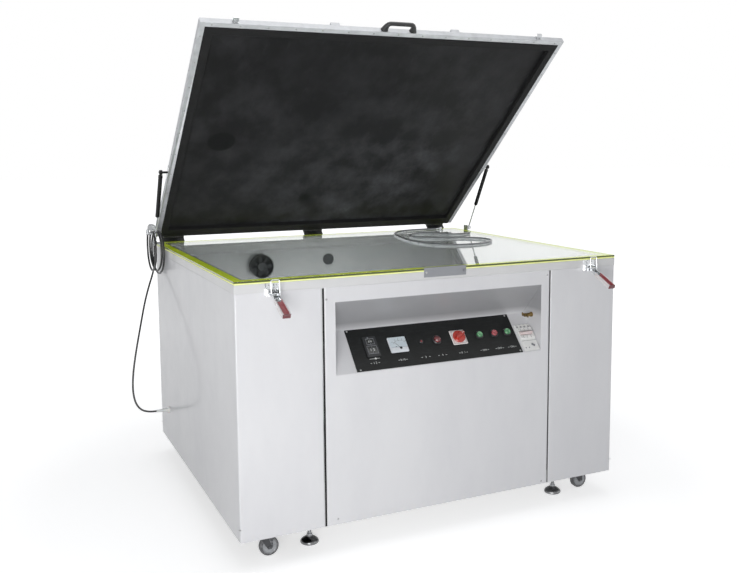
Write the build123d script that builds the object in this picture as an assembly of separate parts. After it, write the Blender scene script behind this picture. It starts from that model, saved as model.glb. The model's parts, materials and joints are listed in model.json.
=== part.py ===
from build123d import *
import math
import os

# A screen exposure table: steel cabinet, glass bed, vacuum lid on gas struts, front control shelf.
# Millimetres. X to the right, Y to the back, Z up from the floor. Y is counted from the cabinet's
# middle while the pieces are made, and everything is moved to the bounding box's middle at the end.

# Cabinet
cabinet_width = 1300.0
cabinet_depth = 1120.0
underside_z = 78.0
glass_top_z = 826.0
glass_thickness = 6.0
gasket_thickness = 4.0
gasket_width = 28.0
band_height = 25.0
sheet = 1.5
bend_radius = 4.0
centre_margin_left = 34.0
centre_margin_right = 31.5
cover_gap = 1.0
rear_wrap = 32.0
return_flange = 16.0
seam_left = 6.0
seam_right = 3.0
seam_rear = 2.0

# Welded frame
tray_sheet = 2.0
frame_wall = 3.0
upstand_height = 40.0
post_width = 40.0
rim_width = 42.0
rim_wall = 2.0
boss_radius = 14.0
boss_height = 24.0
kingpin_room = 2.0

# Control recess and its shelf
recess_left = -354.0
recess_right = 358.0
recess_top_z = 746.0
recess_bottom_z = 529.0
recess_depth = 106.0
recess_corner_z = 638.6

# Control plate, in the shelf's own plane: x across, s up the slope from the front edge
plate_left = -287.0
plate_right = 291.0
plate_low = 2.5
plate_high = 149.0
plate_thickness = 2.0
window_margin_s = 13.2
window_margin_left = 22.0
window_margin_right = 15.4
control_row = 81.0
timer_x = -219.0
timer_size = (44.0, 72.0)
timer_proud = 5.0
timer_body = (38.0, 64.0, 46.0)
timer_window_width = 28.0
timer_window_depth = 1.0
timer_windows = ((17.0, 18.0), (-12.0, 24.0))
meter_x = -131.0
meter_row = 78.0
meter_size = (60.0, 54.0)
meter_proud = 9.0
meter_body_radius = 22.0
meter_body_depth = 36.0
indicator_x = -50.0
indicator_radius = 7.0
indicator_stem_radius = 5.6
indicator_depth = 20.0
pilot_x = 5.0
pilot_radius = 15.0
pilot_stem_radius = 11.25
pilot_lens_radius = 12.0
lamp_bezel_height = 5.0
switch_x = 82.0
switch_size = 52.0
switch_proud = 4.0
switch_body = 34.0
switch_shaft_radius = 4.0
switch_shaft_height = 10.2
knob_radius = 21.0
knob_height = 17.0
knob_base_height = 6.0
knob_grip_width = 13.0
knob_angle = 30.0
knob_gap = 0.3
button_x = (158.0, 213.0, 262.0)
bezel_radius = 14.5
bezel_height = 6.0
bezel_stem_radius = 11.0
button_radius = 10.0
button_proud = 4.0
button_crown = 1.5
button_below = 14.0
button_well_floor = 6.0
control_depth = 34.0
breaker_left = 298.0
breaker_right = 355.0
breaker_low = 5.0
breaker_high = 103.0
breaker_proud = 9.0
breaker_step = 5.4
breaker_depth = 52.0
breaker_body_inset = (1.5, 2.5)
breaker_room = 0.5
breaker_poles = 4
breaker_nose_half = 20.0
terminal_radius = 4.5
terminal_depth = 4.0
lever_row = 68.0
lever_slot = (18.0, 8.0)
lever_slot_poles = 3.2
lever_gap = 0.5
lever_drum_radius = 6.0
lever_bar = (4.0, 14.0)
lever_bar_inset = 2.0
lever_lean = 25.0
lever_sunk = 1.0

# Vent valve in the right wall of the recess
valve_inset = 54.0
valve_z = 640.0
valve_radius = 8.0
valve_collar = 6.0
valve_neck_radius = 5.6
valve_tail_radius = 6.0
valve_tail = 22.0
valve_reach = 22.0
spindle_radius = 2.5
spindle_length = 7.0
tap_hub = (6.0, 7.0)
tap_gap = 0.3
wing_half = 19.0
wing_height = 9.0
wing_thickness = 3.0
wing_inset = 2.0

# Vacuum lid, measured closed
lid_side_inset = 2.0
lid_setback = 45.0
lid_overhang = 15.0
lid_clearance = 4.0
rail_width = 17.0
rail_height = 20.0
rail_wall = 2.0
blanket_recess = 16.0
blanket_thickness = 3.0
seal_width = 27.0
seal_clearance = 0.4
rear_strip_inset = 1.0
stiffener_size = (30.0, 12.0)
lid_open_angle = 40.5

# Lid hinges
hinge_inset = 74.0
hinge_width = 80.0
knuckle_width = 22.0
hinge_behind = 36.0
hinge_above_glass = 16.0
barrel_radius = 8.0
pin_radius = 4.0
pin_clearance = 0.05
leaf_thickness = 4.0
leaf_drop = 56.0
leaf_bend = (16.0, 12.0)
leaf_nose = (9.0, 0.8)
leaf_lip = 3.0
upper_leaf_inset = (3.0, 2.0)
lug_below = 4.0
side_clearance = 0.4

# Gas struts
strut_out_left = 23.0
strut_out_right = 15.0
strut_from_rear = 116.0
strut_base_above_glass = 9.0
strut_from_lid_rear = 380.0
strut_radius = 7.5
rod_radius = 3.0
neck_radius = 4.0
eye_radius = 8.5
eye_width = 10.0
eye_gap = 4.0
cylinder_length = 176.0
rod_tip_gap = 16.0
bore_end_gap = 2.0
stud_radius = 4.0
stud_head = (6.0, 3.5)
stud_end_gap = 1.5
stud_over = 2.0
bracket_thickness = 3.0
bracket_half = 16.0
bracket_above = 11.0
bracket_below = 16.0
lid_plate_thickness = 2.0
lid_plate_size = (60.0, 18.0)
lid_plate_gap = 0.4

# Lid handle, catches and latches
handle_foot_span = 102.0
handle_bar_span = 88.0
handle_reach = 34.0
handle_radius = 6.0
handle_bend = 12.0
handle_foot = (24.0, 3.0, 18.0)
catch_inset = 109.0
catch_width = 19.0
catch_reach = 17.0
catch_thickness = 2.5
catch_plate_height = 18.0
catch_hook = (-2.0, 7.0)
latch_base_size = (44.0, 36.0)
latch_base_thickness = 2.5
latch_pivot_out = 12.0
latch_pivot_z = 789.0
latch_pin_radius = 2.5
ear_thickness = 2.5
ear_gap = 1.2
ear_ahead = 6.0
ear_height = (-8.0, 10.0)
lever_width = 20.0
lever_length = 118.0
lever_behind = 6.0
lever_thickness = 8.0
lever_raise = 1.0
hook_lug = (9.0, 7.0)
grip_start = 40.0
grip_over = 8.0
grip_width = 24.0
grip_thickness = 13.0
grip_round = 3.0
latch_droop = 23.5
hook_wire = 1.8
hook_width = 28.0
hook_height = 38.0
hook_lean = 4.0
hook_out = 14.0
hook_up = 7.0
hook_bends = (2.0, 4.0)

# Casters and feet
caster_inset_left = (80.0, 60.0)
caster_inset_right = (87.0, 88.0)
caster_inset_rear = (80.0, 60.0)
caster_plate = 62.0
caster_plate_thickness = 3.0
race_radius = 19.0
race_height = 6.0
race_clearance = 0.3
packer_overlap = 1.0
wheel_radius = 29.0
wheel_width = 20.0
wheel_lift = 0.4
tyre_round = 3.0
hub_radius = 9.0
hub_clearance = 0.4
dish_radii = (10.5, 22.0)
dish_depth = 3.0
caster_trail = 20.0
fork_thickness = 2.5
fork_gap = 1.5
fork_crown = 4.0
fork_crown_inset = 1.0
fork_back = 14.0
fork_front = (10.0, 9.0, 5.0)
fork_foot = (2.0, 7.0)
axle_radius = 4.0
axle_over = 2.0
kingpin_radius = 5.0
kingpin_short = 1.0
foot_inset_left = (236.0, 86.0)
foot_inset_right = (176.0, 86.0)
foot_radius = 28.5
foot_rim = 4.0
foot_shoulder = (16.5, 12.0)
foot_top_radius = 12.0
foot_height = 14.0
foot_collar = (9.0, 4.0)
stem_radius = 6.0
stem_top_z = 112.0

# Inside
reflector_top = 420.0
reflector_bottom = 200.0
reflector_height = 150.0
reflector_wall = 2.1
lamp_post_width = 16.0
lamp_post_depth = 18.0
lamp_post_grip = 8.4
lamp_length = 190.0
lamp_radius = 11.0
lamp_cap_radius = 14.0
lamp_cap_length = 30.0
lamp_above_tray = 92.0
ballast_size = (180.0, 120.0, 110.0)
ballast_inset = (250.0, 360.0)
ballast_foot = (40.0, 6.0)
ballast_core = 129.6
winding_depth = 72.0
winding_margin = 20.0
pump_radius = 58.0
pump_length = 200.0
pump_inset = (280.0, 320.0)
pump_foot = (110.0, 180.0, 8.0)
pump_saddle = (60.0, 120.0)
pump_saddle_drop = 46.4
pump_head = (100.0, 50.0)
pump_head_below = 50.0
pump_head_above = 60.0
pump_port_radius = 8.0
pump_port_height = 84.0
fan_x = -238.0
fan_z = 704.0
fan_radius = 47.0
fan_depth = 30.0
fan_bore = 43.0
fan_arms = 3
fan_arm = (6.0, 5.0)
fan_arm_turn = 30.0
fan_boss_radius = 14.0
fan_shaft_inset = 8.0
fan_hub_radius = 18.0
fan_blades = 7
fan_blade = (1.6, 18.0)
fan_blade_root = 2.0
fan_pitch = 35.0
fan_tip_clearance = 2.0
fan_rotor_inset = (4.0, 7.0)
fan_hub_wall = 3.0
vent_x = (-300.0, 300.0)
vent_slot = (90.0, 6.0)
vent_pitch = 18.0
vent_lowest_z = 180.0
vent_rows = 8

# Plate over the front edge of the glass
edge_plate_x = 5.0
edge_plate_width = 145.0
edge_plate_drop = 28.0
edge_plate_lap = 6.0
edge_eye = (6.0, 6.0, 4.0)

# Cords
hose_radius = 4.0
hose_lift = 0.3
elbow_inset = (94.0, 60.0)
elbow_radius = 7.0
elbow_height = 11.6
elbow_stem_radius = 4.2
elbow_stem_below = 16.0
elbow_arm = 16.0
elbow_nut = (9.0, 6.0, 0.3)
lead_radius = 3.5
gland_from_rear = 153.0
gland_z = 207.0
gland_length = 48.0
gland_nut = (12.0, 7.0)
gland_sleeve_radius = 6.5
gland_bore_radius = 5.0
gland_inside = 14.0
coil_center = (452.0, 880.0)
coil_turns = 3
coil_pitch = 8.0
coil_start_x = -664.0
coil_swings = (14.0, 14.2, 1.5, 0.0)
coil_end_lift = 17.5
coil_half_depth = 68.0
coil_half_height = 76.0
plug_length = 40.0
plug_radius = 13.0
plug_round = 2.5
plug_relief = (2.0, 16.0)
plug_overlap = 2.0
pin_size = (2.2, 17.0)
pin_offset = 7.0
peg_radius = 5.0
peg_gap = 0.3
peg_past_coil = 15.0
peg_tip = 15.0
riser_y = (4.0, 16.0)

# Worked out from the driving sizes
half_w = cabinet_width / 2
half_d = cabinet_depth / 2
front_y = -half_d
rear_y = half_d
centre_left = recess_left - centre_margin_left
centre_right = recess_right + centre_margin_right
glass_low_z = glass_top_z - glass_thickness
rim_top_z = glass_low_z - gasket_thickness
rim_low_z = rim_top_z - band_height
recess_corner_y = front_y + recess_depth
lid_width = cabinet_width - 2 * lid_side_inset
lid_rear_y = rear_y + lid_overhang
lid_front_y = front_y + lid_setback
lid_length = lid_rear_y - lid_front_y
lid_low_z = glass_top_z + lid_clearance
lid_high_z = lid_low_z + rail_height
lid_mid_z = (lid_low_z + lid_high_z) / 2
lid_half_w = lid_width / 2
stiffener_x = lid_width / 6
catch_x = half_w - catch_inset
hinge_x = (hinge_inset - half_w, 0.0, half_w - hinge_inset)
hinge_y = rear_y + hinge_behind
hinge_z = glass_top_z + hinge_above_glass
blanket_low_z = glass_top_z + blanket_recess
tray_top_z = underside_z + tray_sheet
wheel_z = wheel_radius + wheel_lift
inside_x = half_w - sheet
inside_y = half_d - sheet
valve_y = front_y + valve_inset
strut_x = {-1: half_w + strut_out_left, 1: half_w + strut_out_right}
strut_base_y = rear_y - strut_from_rear
gland_y = rear_y - gland_from_rear
elbow_at = (half_w - elbow_inset[0], rear_y - elbow_inset[1])
ballast_at = (-half_w + ballast_inset[0], rear_y - ballast_inset[1])
pump_at = (half_w - pump_inset[0], rear_y - pump_inset[1])
caster_left = (-half_w + caster_inset_left[0], front_y + caster_inset_left[1])
caster_right = (half_w - caster_inset_right[0], front_y + caster_inset_right[1])
caster_rear_left = (-half_w + caster_inset_rear[0], rear_y - caster_inset_rear[1])
caster_rear_right = (half_w - caster_inset_rear[0], rear_y - caster_inset_rear[1])
foot_left = (-half_w + foot_inset_left[0], front_y + foot_inset_left[1])
foot_right = (half_w - foot_inset_right[0], front_y + foot_inset_right[1])
beyond = 10.0
hair = 0.01


def block(x, y, z):
    """A box between pairs of coordinates."""
    middle = Pos((x[0] + x[1]) / 2, (y[0] + y[1]) / 2, (z[0] + z[1]) / 2)
    return middle * Box(x[1] - x[0], y[1] - y[0], z[1] - z[0])


def bar(start, end, radius):
    """A round bar between two points."""
    start, end = Vector(*start), Vector(*end)
    seat = Plane(origin=start, z_dir=end - start)
    grown = (Align.CENTER, Align.CENTER, Align.MIN)
    return seat.location * Cylinder(radius, (end - start).length, align=grown)


def prism(points, x):
    """An outline in Y and Z, drawn out along X."""
    corners = [(x[0], y, z) for y, z in points]
    return extrude(make_face(Polyline(*corners, close=True)), x[1] - x[0], dir=(1, 0, 0))


def slab(points, z):
    """An outline in X and Y, drawn out along Z."""
    corners = [(x, y, z[0]) for x, y in points]
    return extrude(make_face(Polyline(*corners, close=True)), z[1] - z[0], dir=(0, 0, 1))


def ring(half_x, half_y, width, z, middle_y=0.0):
    """A rectangular ring seen from above."""
    outer = block((-half_x, half_x), (middle_y - half_y, middle_y + half_y), z)
    inner_y = (middle_y - half_y + width, middle_y + half_y - width)
    return outer - block((width - half_x, half_x - width), inner_y, (z[0] - 1, z[1] + 1))


def group(pieces):
    """Separate solids that share a name."""
    return Compound([solid for piece in pieces for solid in piece.solids()])


def mirrored(piece):
    """The same piece on the other side of the cabinet."""
    return piece.mirror(Plane.YZ)


# ---- Cabinet -------------------------------------------------------------------------------


def welded_frame():
    """Floor tray, corner posts of angle, and the rim that carries the glass."""
    tray = block((-inside_x, inside_x), (-inside_y, inside_y), (underside_z, tray_top_z))
    upstand = ring(inside_x, inside_y, frame_wall, (underside_z, underside_z + upstand_height))
    frame = tray + upstand
    for side_x in (-1, 1):
        for side_y in (-1, 1):
            out_x, in_x = side_x * inside_x, side_x * (inside_x - post_width)
            out_y, in_y = side_y * inside_y, side_y * (inside_y - post_width)
            web_x, web_y = side_x * (inside_x - frame_wall), side_y * (inside_y - frame_wall)
            height = (tray_top_z, rim_top_z - rim_wall)
            along_y = block(sorted((out_x, web_x)), sorted((out_y, in_y)), height)
            along_x = block(sorted((out_x, in_x)), sorted((out_y, web_y)), height)
            frame = frame + along_x + along_y
    rounded = RectangleRounded(2 * inside_x, 2 * inside_y, bend_radius)
    frame &= Pos(0, 0, underside_z) * extrude(rounded, rim_top_z - underside_z)
    frame += ring(half_w, half_d, rim_wall, (rim_low_z, rim_top_z))
    frame += ring(half_w, half_d, rim_width, (rim_top_z - rim_wall, rim_top_z))
    for x, y in (foot_left, foot_right):
        frame += Pos(x, y, tray_top_z + boss_height / 2) * Cylinder(boss_radius, boss_height)
        hole = Cylinder(stem_radius + pin_clearance, 4 * boss_height)
        frame -= Pos(x, y, tray_top_z) * hole
    for x, y in (caster_left, caster_right):
        hole = Cylinder(kingpin_radius + kingpin_room, 4 * tray_sheet)
        frame -= Pos(x, y, underside_z) * hole
    return frame


def clear_of_tray(cover):
    """Cuts a cover's returns away where the tray's upstand passes."""
    height = (underside_z - 1, underside_z + upstand_height)
    return cover - block((-inside_x, inside_x), (-inside_y, inside_y), height)


def side_panel(seam_x):
    """The left cover: one sheet wrapped round the front and the back, bent to a safe edge."""
    mid = sheet / 2
    front, back, outer = front_y + mid, rear_y - mid, -half_w + mid
    path = FilletPolyline(
        (seam_x - mid, front + return_flange, 0),
        (seam_x - mid, front, 0),
        (outer, front, 0),
        (outer, back, 0),
        (-half_w + rear_wrap, back, 0),
        radius=bend_radius,
    )
    cover = extrude(trace(path, sheet), rim_low_z - underside_z, dir=(0, 0, 1))
    return clear_of_tray(Pos(0, 0, underside_z) * cover)


def left_side_panel():
    cover = side_panel(centre_left - seam_left)
    ends = (-half_w - sheet, gland_y, gland_z), (4 * sheet - half_w, gland_y, gland_z)
    return cover - bar(*ends, gland_bore_radius)


def right_side_panel():
    return mirrored(side_panel(-centre_right - seam_right))


def centre_front_panel():
    """The cover between the two wrapped sides, open where the recess is."""
    mid = sheet / 2
    path = FilletPolyline(
        (centre_left + mid, front_y + return_flange, 0),
        (centre_left + mid, front_y + mid, 0),
        (centre_right - mid, front_y + mid, 0),
        (centre_right - mid, front_y + return_flange, 0),
        radius=bend_radius,
    )
    cover = extrude(trace(path, sheet), rim_low_z - cover_gap - underside_z, dir=(0, 0, 1))
    mouth = block(
        (recess_left, recess_right),
        (front_y - 1, front_y + sheet + 1),
        (recess_bottom_z, recess_top_z),
    )
    return clear_of_tray(Pos(0, 0, underside_z) * cover) - mouth


def back_panel():
    """The rear cover, with vent slots low down and the opening that the fan blows through."""
    half = half_w - rear_wrap - seam_rear
    cover = block((-half, half), (inside_y, rear_y), (underside_z, rim_low_z - cover_gap))
    through = (rear_y - beyond, rear_y + beyond)
    cover -= bar((fan_x, through[0], fan_z), (fan_x, through[1], fan_z), fan_bore)
    slot_length, slot_height = vent_slot
    for centre_x in vent_x:
        for row in range(vent_rows):
            z = vent_lowest_z + row * vent_pitch
            x = (centre_x - slot_length / 2, centre_x + slot_length / 2)
            cover -= block(x, through, (z, z + slot_height))
    return cover


slope = math.atan2(recess_corner_z - recess_bottom_z, recess_depth)
shelf = Plane(
    origin=(0, front_y, recess_bottom_z),
    x_dir=(1, 0, 0),
    z_dir=(0, -math.sin(slope), math.cos(slope)),
)


def on_shelf(x, s, height=0.0):
    """A seat on the sloped shelf."""
    return shelf.location * Pos(x, s, height)


def shelf_block(x, s, height):
    """A box in the shelf's own directions."""
    middle = on_shelf((x[0] + x[1]) / 2, (s[0] + s[1]) / 2, (height[0] + height[1]) / 2)
    return middle * Box(x[1] - x[0], s[1] - s[0], height[1] - height[0])


def control_recess():
    """A folded pocket: upper wall leaning in, shelf rising to meet it, two cheeks."""
    mouth_y = front_y + sheet
    upper_run = (recess_top_z - recess_corner_z) / recess_depth
    lower_run = (recess_corner_z - recess_bottom_z) / recess_depth
    up_wall = sheet * math.hypot(1, upper_run)
    low_wall = sheet * math.hypot(1, lower_run)
    grown = (up_wall + low_wall) / (upper_run + lower_run)
    corner = (recess_corner_y, recess_corner_z)
    inner = [(front_y, recess_top_z), corner, (front_y, recess_bottom_z)]
    outer_corner = (recess_corner_y + grown, recess_corner_z)
    outer = [(front_y, recess_top_z + up_wall), outer_corner, (front_y, recess_bottom_z - low_wall)]
    pocket = prism(outer, (recess_left - sheet, recess_right + sheet))
    pocket -= prism(inner, (recess_left, recess_right))
    wide = (recess_left - beyond, recess_right + beyond)
    pocket -= block(wide, (front_y - beyond, mouth_y), (0, glass_top_z))
    window_s = (plate_low + window_margin_s, plate_high - window_margin_s)
    window_x = (plate_left + window_margin_left, plate_right - window_margin_right)
    pocket -= shelf_block(window_x, window_s, (-beyond, beyond))
    inset_x, inset_s = breaker_body_inset
    hole_x = (breaker_left + inset_x - breaker_room, breaker_right - inset_x + breaker_room)
    hole_s = (breaker_low + inset_s - breaker_room, breaker_high - inset_s + breaker_room)
    pocket -= shelf_block(hole_x, hole_s, (-beyond, beyond))
    wall = (recess_right - beyond, valve_y, valve_z), (recess_right + beyond, valve_y, valve_z)
    return pocket - bar(*wall, valve_tail_radius + pin_clearance)


def edge_gasket():
    return ring(half_w, half_d, gasket_width, (rim_top_z, glass_low_z))


def glass_plate():
    plate = block((-half_w, half_w), (-half_d, half_d), (glass_low_z, glass_top_z))
    hole = Cylinder(elbow_stem_radius, 4 * glass_thickness)
    return plate - Pos(elbow_at[0], elbow_at[1], glass_low_z) * hole


def front_edge_plate():
    """A small folded guard over the front edge of the glass, with a pin in an eye at one end."""
    x = (edge_plate_x - edge_plate_width / 2, edge_plate_x + edge_plate_width / 2)
    face = block(x, (front_y - sheet, front_y), (glass_top_z - edge_plate_drop, glass_top_z + sheet))
    lap = block(x, (front_y, front_y + edge_plate_lap), (glass_top_z, glass_top_z + sheet))
    eye_inset, eye_out, eye_size = edge_eye
    eye_x, eye_z = x[1] - eye_inset, glass_top_z - edge_plate_drop / 2
    eye = bar((eye_x, front_y - eye_out, eye_z), (eye_x, front_y - sheet, eye_z), eye_size)
    return face + lap + eye


# ---- Inside --------------------------------------------------------------------------------


def lamp_reflector():
    """A folded square bowl on the tray, with two posts that hold the lamp."""
    low, high = tray_top_z, tray_top_z + reflector_height
    outer = loft_square(reflector_bottom, low, reflector_top, high)
    inner = loft_square(
        reflector_bottom - 2 * reflector_wall,
        low + sheet,
        reflector_top - 2 * reflector_wall,
        high + hair,
    )
    lamp_z, posts = low + lamp_above_tray, []
    for side in (-1, 1):
        middle = side * (lamp_length - lamp_cap_length) / 2
        post_x = (middle - lamp_post_width / 2, middle + lamp_post_width / 2)
        post_y = (-lamp_post_depth / 2, lamp_post_depth / 2)
        post = block(post_x, post_y, (low + sheet, lamp_z - lamp_post_grip))
        ends = (middle - lamp_cap_length, 0, lamp_z), (middle + lamp_cap_length, 0, lamp_z)
        posts.append(post - bar(*ends, lamp_cap_radius))
    return group([outer - inner, *posts])


def loft_square(low_side, low_z, high_side, high_z):
    """A square frustum."""
    faces = [Pos(0, 0, low_z) * Rectangle(low_side, low_side)]
    faces.append(Pos(0, 0, high_z) * Rectangle(high_side, high_side))
    return loft(faces, ruled=True)


def exposure_lamp():
    """A quartz tube with two ceramic ends."""
    z = tray_top_z + lamp_above_tray
    half = lamp_length / 2
    neck = half - lamp_cap_length
    tube = bar((-neck, 0, z), (neck, 0, z), lamp_radius)
    ends = [bar((s * neck, 0, z), (s * half, 0, z), lamp_cap_radius) for s in (-1, 1)]
    return group([tube, *ends])


def ballast():
    """A laminated core with its winding showing at both ends, on two feet."""
    width, depth, height = ballast_size
    foot_depth, foot_height = ballast_foot
    x, y = ballast_at
    across = (x - width / 2, x + width / 2)
    low, high = tray_top_z + foot_height, tray_top_z + foot_height + height
    foot = block(across, (y - foot_depth / 2, y + foot_depth / 2), (tray_top_z, low))
    core_x = (x - ballast_core / 2, x + ballast_core / 2)
    core = block(core_x, (y - depth / 2, y + depth / 2), (low, high))
    winding_y = (y - winding_depth / 2, y + winding_depth / 2)
    return foot + core + block(across, winding_y, (low + winding_margin, high - winding_margin))


def vacuum_pump():
    """An oil-free pump: motor barrel, pump head and a foot plate."""
    x, y = pump_at
    foot_width, foot_length, foot_height = pump_foot
    saddle_width, saddle_length = pump_saddle
    head_width, head_length = pump_head
    foot_top = tray_top_z + foot_height
    axis_z = foot_top + pump_radius
    foot_x, foot_y = (x - foot_width / 2, x + foot_width / 2), (y - foot_length / 2, y + foot_length / 2)
    foot = block(foot_x, foot_y, (tray_top_z, foot_top))
    saddle_x = (x - saddle_width / 2, x + saddle_width / 2)
    saddle_y = (y - saddle_length / 2, y + saddle_length / 2)
    saddle = block(saddle_x, saddle_y, (foot_top, axis_z - pump_saddle_drop))
    head_end = y - pump_length / 2
    barrel = bar((x, head_end, axis_z), (x, y + pump_length / 2, axis_z), pump_radius)
    head_x = (x - head_width / 2, x + head_width / 2)
    head_z = (axis_z - pump_head_below, axis_z + pump_head_above)
    head = block(head_x, (head_end - head_length, head_end), head_z)
    port_y = head_end - head_length / 2
    port = bar((x, port_y, axis_z), (x, port_y, axis_z + pump_port_height), pump_port_radius)
    return foot + saddle + barrel + head + port


def fan_housing():
    """A round fan frame on the back panel with a three-armed spider and its stub shaft."""
    near, far = inside_y - fan_depth, inside_y
    body = bar((fan_x, near, fan_z), (fan_x, far, fan_z), fan_radius)
    body -= bar((fan_x, near - beyond, fan_z), (fan_x, far + beyond, fan_z), fan_bore)
    arm_width, arm_depth = fan_arm
    reach = (fan_bore + fan_radius) / 2
    for turn in range(fan_arms):
        arm = block((0, reach), (far - arm_depth, far), (-arm_width / 2, arm_width / 2))
        body += Pos(fan_x, 0, fan_z) * (Rot(0, 360 / fan_arms * turn + fan_arm_turn, 0) * arm)
    boss = bar((fan_x, far - arm_depth, fan_z), (fan_x, far, fan_z), fan_boss_radius)
    shaft = bar((fan_x, near + fan_shaft_inset, fan_z), (fan_x, far, fan_z), pin_radius)
    return body + boss + shaft


def fan_rotor():
    """A hub with pitched blades."""
    near = inside_y - fan_depth + fan_rotor_inset[0]
    far = inside_y - fan_rotor_inset[1]
    rotor = bar((fan_x, near, fan_z), (fan_x, far, fan_z), fan_hub_radius)
    root, tip = fan_hub_radius - fan_blade_root, fan_bore - fan_tip_clearance
    thickness, chord = fan_blade
    for turn in range(fan_blades):
        blade = Pos((root + tip) / 2, 0, 0) * Box(tip - root, thickness, chord)
        blade = Rot(0, 360 / fan_blades * turn, 0) * (Rot(fan_pitch, 0, 0) * blade)
        rotor += Pos(fan_x, (near + far) / 2, fan_z) * blade
    ends = (fan_x, near + fan_hub_wall, fan_z), (fan_x, far + beyond, fan_z)
    return rotor - bar(*ends, pin_radius + pin_clearance)


# ---- Controls ------------------------------------------------------------------------------


def control_plate():
    """The black front plate, pierced for every control."""
    plate = shelf_block((plate_left, plate_right), (plate_low, plate_high), (0, plate_thickness))
    width, height = timer_body[0], timer_body[1]
    holes = [on_shelf(timer_x, control_row) * Box(width, height, beyond)]
    holes.append(on_shelf(meter_x, meter_row) * Cylinder(meter_body_radius, beyond))
    holes.append(on_shelf(indicator_x, control_row) * Cylinder(indicator_stem_radius, beyond))
    holes.append(on_shelf(pilot_x, control_row) * Cylinder(pilot_stem_radius, beyond))
    holes.append(on_shelf(switch_x, control_row) * Box(switch_body, switch_body, beyond))
    holes += [on_shelf(x, control_row) * Cylinder(bezel_stem_radius, beyond) for x in button_x]
    for hole in holes:
        plate -= hole
    return plate


def panel_box(x, row, size, proud, body):
    """A flush instrument: a rim on the plate and a body through it."""
    width, height = size
    rim = shelf_block(
        (x - width / 2, x + width / 2),
        (row - height / 2, row + height / 2),
        (plate_thickness, plate_thickness + proud),
    )
    return rim + body


def timer():
    """A tall panel timer with two windows in its face."""
    width, height, depth = timer_body
    body = on_shelf(timer_x, control_row, plate_thickness - depth / 2) * Box(width, height, depth)
    case = panel_box(timer_x, control_row, timer_size, timer_proud, body)
    face = plate_thickness + timer_proud
    for row, tall in timer_windows:
        window = Box(timer_window_width, tall, 2 * timer_window_depth)
        case -= on_shelf(timer_x, control_row + row, face) * window
    return case


def ammeter():
    """A square moving-coil meter on a round body."""
    depth = meter_body_depth + plate_thickness
    body = on_shelf(meter_x, meter_row, plate_thickness - depth / 2) * Cylinder(
        meter_body_radius, depth
    )
    return panel_box(meter_x, meter_row, meter_size, meter_proud, body)


def capped(x, radius, height, stem, depth):
    """A round bezel with a stem through the plate."""
    grown = (Align.CENTER, Align.CENTER, Align.MIN)
    bezel = on_shelf(x, control_row, plate_thickness) * Cylinder(radius, height, align=grown)
    low = plate_thickness - depth
    return bezel + on_shelf(x, control_row, low) * Cylinder(stem, depth, align=grown)


def panel_bezels():
    """Two signal lamps and three button bezels."""
    small = (indicator_x, indicator_radius, lamp_bezel_height, indicator_stem_radius)
    large = (pilot_x, pilot_radius, lamp_bezel_height, pilot_stem_radius)
    lens = Sphere(pilot_lens_radius)
    lens -= Pos(0, 0, -lamp_bezel_height - pilot_radius) * Box(*[2 * pilot_radius] * 3)
    dome = on_shelf(pilot_x, control_row, plate_thickness + lamp_bezel_height) * lens
    pieces = [capped(*small, indicator_depth), capped(*large, control_depth) + dome]
    for x in button_x:
        bezel = capped(x, bezel_radius, bezel_height, bezel_stem_radius, control_depth)
        well = bezel_height + control_depth - button_well_floor
        middle = plate_thickness + bezel_height - well / 2 + hair
        hole = Cylinder(button_radius + pin_clearance, well)
        pieces.append(bezel - on_shelf(x, control_row, middle) * hole)
    return group(pieces)


def push_button(x):
    """A button that slides in its bezel."""
    low = plate_thickness + bezel_height - button_below
    high = plate_thickness + bezel_height + button_proud
    cap = on_shelf(x, control_row, (low + high) / 2) * Cylinder(button_radius, high - low)
    crown = cap.edges().sort_by(Axis(shelf.origin, shelf.z_dir))[-1]
    return fillet(crown, button_crown)


def switch_plate():
    """A square rotary switch escutcheon with its body behind and a shaft in front."""
    depth = control_depth + plate_thickness
    low = plate_thickness - depth / 2
    body = on_shelf(switch_x, control_row, low) * Box(switch_body, switch_body, depth)
    case = panel_box(switch_x, control_row, (switch_size, switch_size), switch_proud, body)
    top = plate_thickness + switch_proud + switch_shaft_height
    shaft = on_shelf(switch_x, control_row, top / 2) * Cylinder(switch_shaft_radius, top)
    return case + shaft


def switch_knob():
    """A round base with a thick grip across it."""
    low = plate_thickness + switch_proud + knob_gap
    base = Pos(0, 0, knob_base_height / 2) * Cylinder(knob_radius, knob_base_height)
    raised = Pos(0, 0, knob_height / 2)
    grip = Rot(0, 0, knob_angle) * Box(knob_radius * 2, knob_grip_width, knob_height)
    knob = base + raised * (grip & Cylinder(knob_radius, knob_height))
    bore = Cylinder(switch_shaft_radius + pin_clearance, 2 * (switch_shaft_height + knob_gap))
    return on_shelf(switch_x, control_row, low) * (knob - bore)


pole_pitch = (breaker_right - breaker_left) / breaker_poles
breaker_middle = (breaker_left + breaker_right) / 2


def circuit_breaker():
    """A row of poles with terminal notches along the top and a lower block."""
    x = (breaker_left, breaker_right)
    low = shelf_block(x, (breaker_low, breaker_high), (0, breaker_step))
    inset_x, inset_s = breaker_body_inset
    inner_x = (breaker_left + inset_x, breaker_right - inset_x)
    inner_s = (breaker_low + inset_s, breaker_high - inset_s)
    body = shelf_block(inner_x, inner_s, (-breaker_depth, 0))
    nose_s = (lever_row - breaker_nose_half, lever_row + breaker_nose_half)
    case = low + body + shelf_block(x, nose_s, (0, breaker_proud))
    for pole in range(breaker_poles):
        middle = breaker_left + pole_pitch * (pole + 1 / 2)
        notch = Cylinder(terminal_radius, 2 * terminal_depth)
        case -= on_shelf(middle, breaker_high, breaker_step) * notch
    slot = Box(pole_pitch * lever_slot_poles, lever_slot[0], 2 * lever_slot[1])
    return case - on_shelf(breaker_middle, lever_row, breaker_proud) * slot


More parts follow.
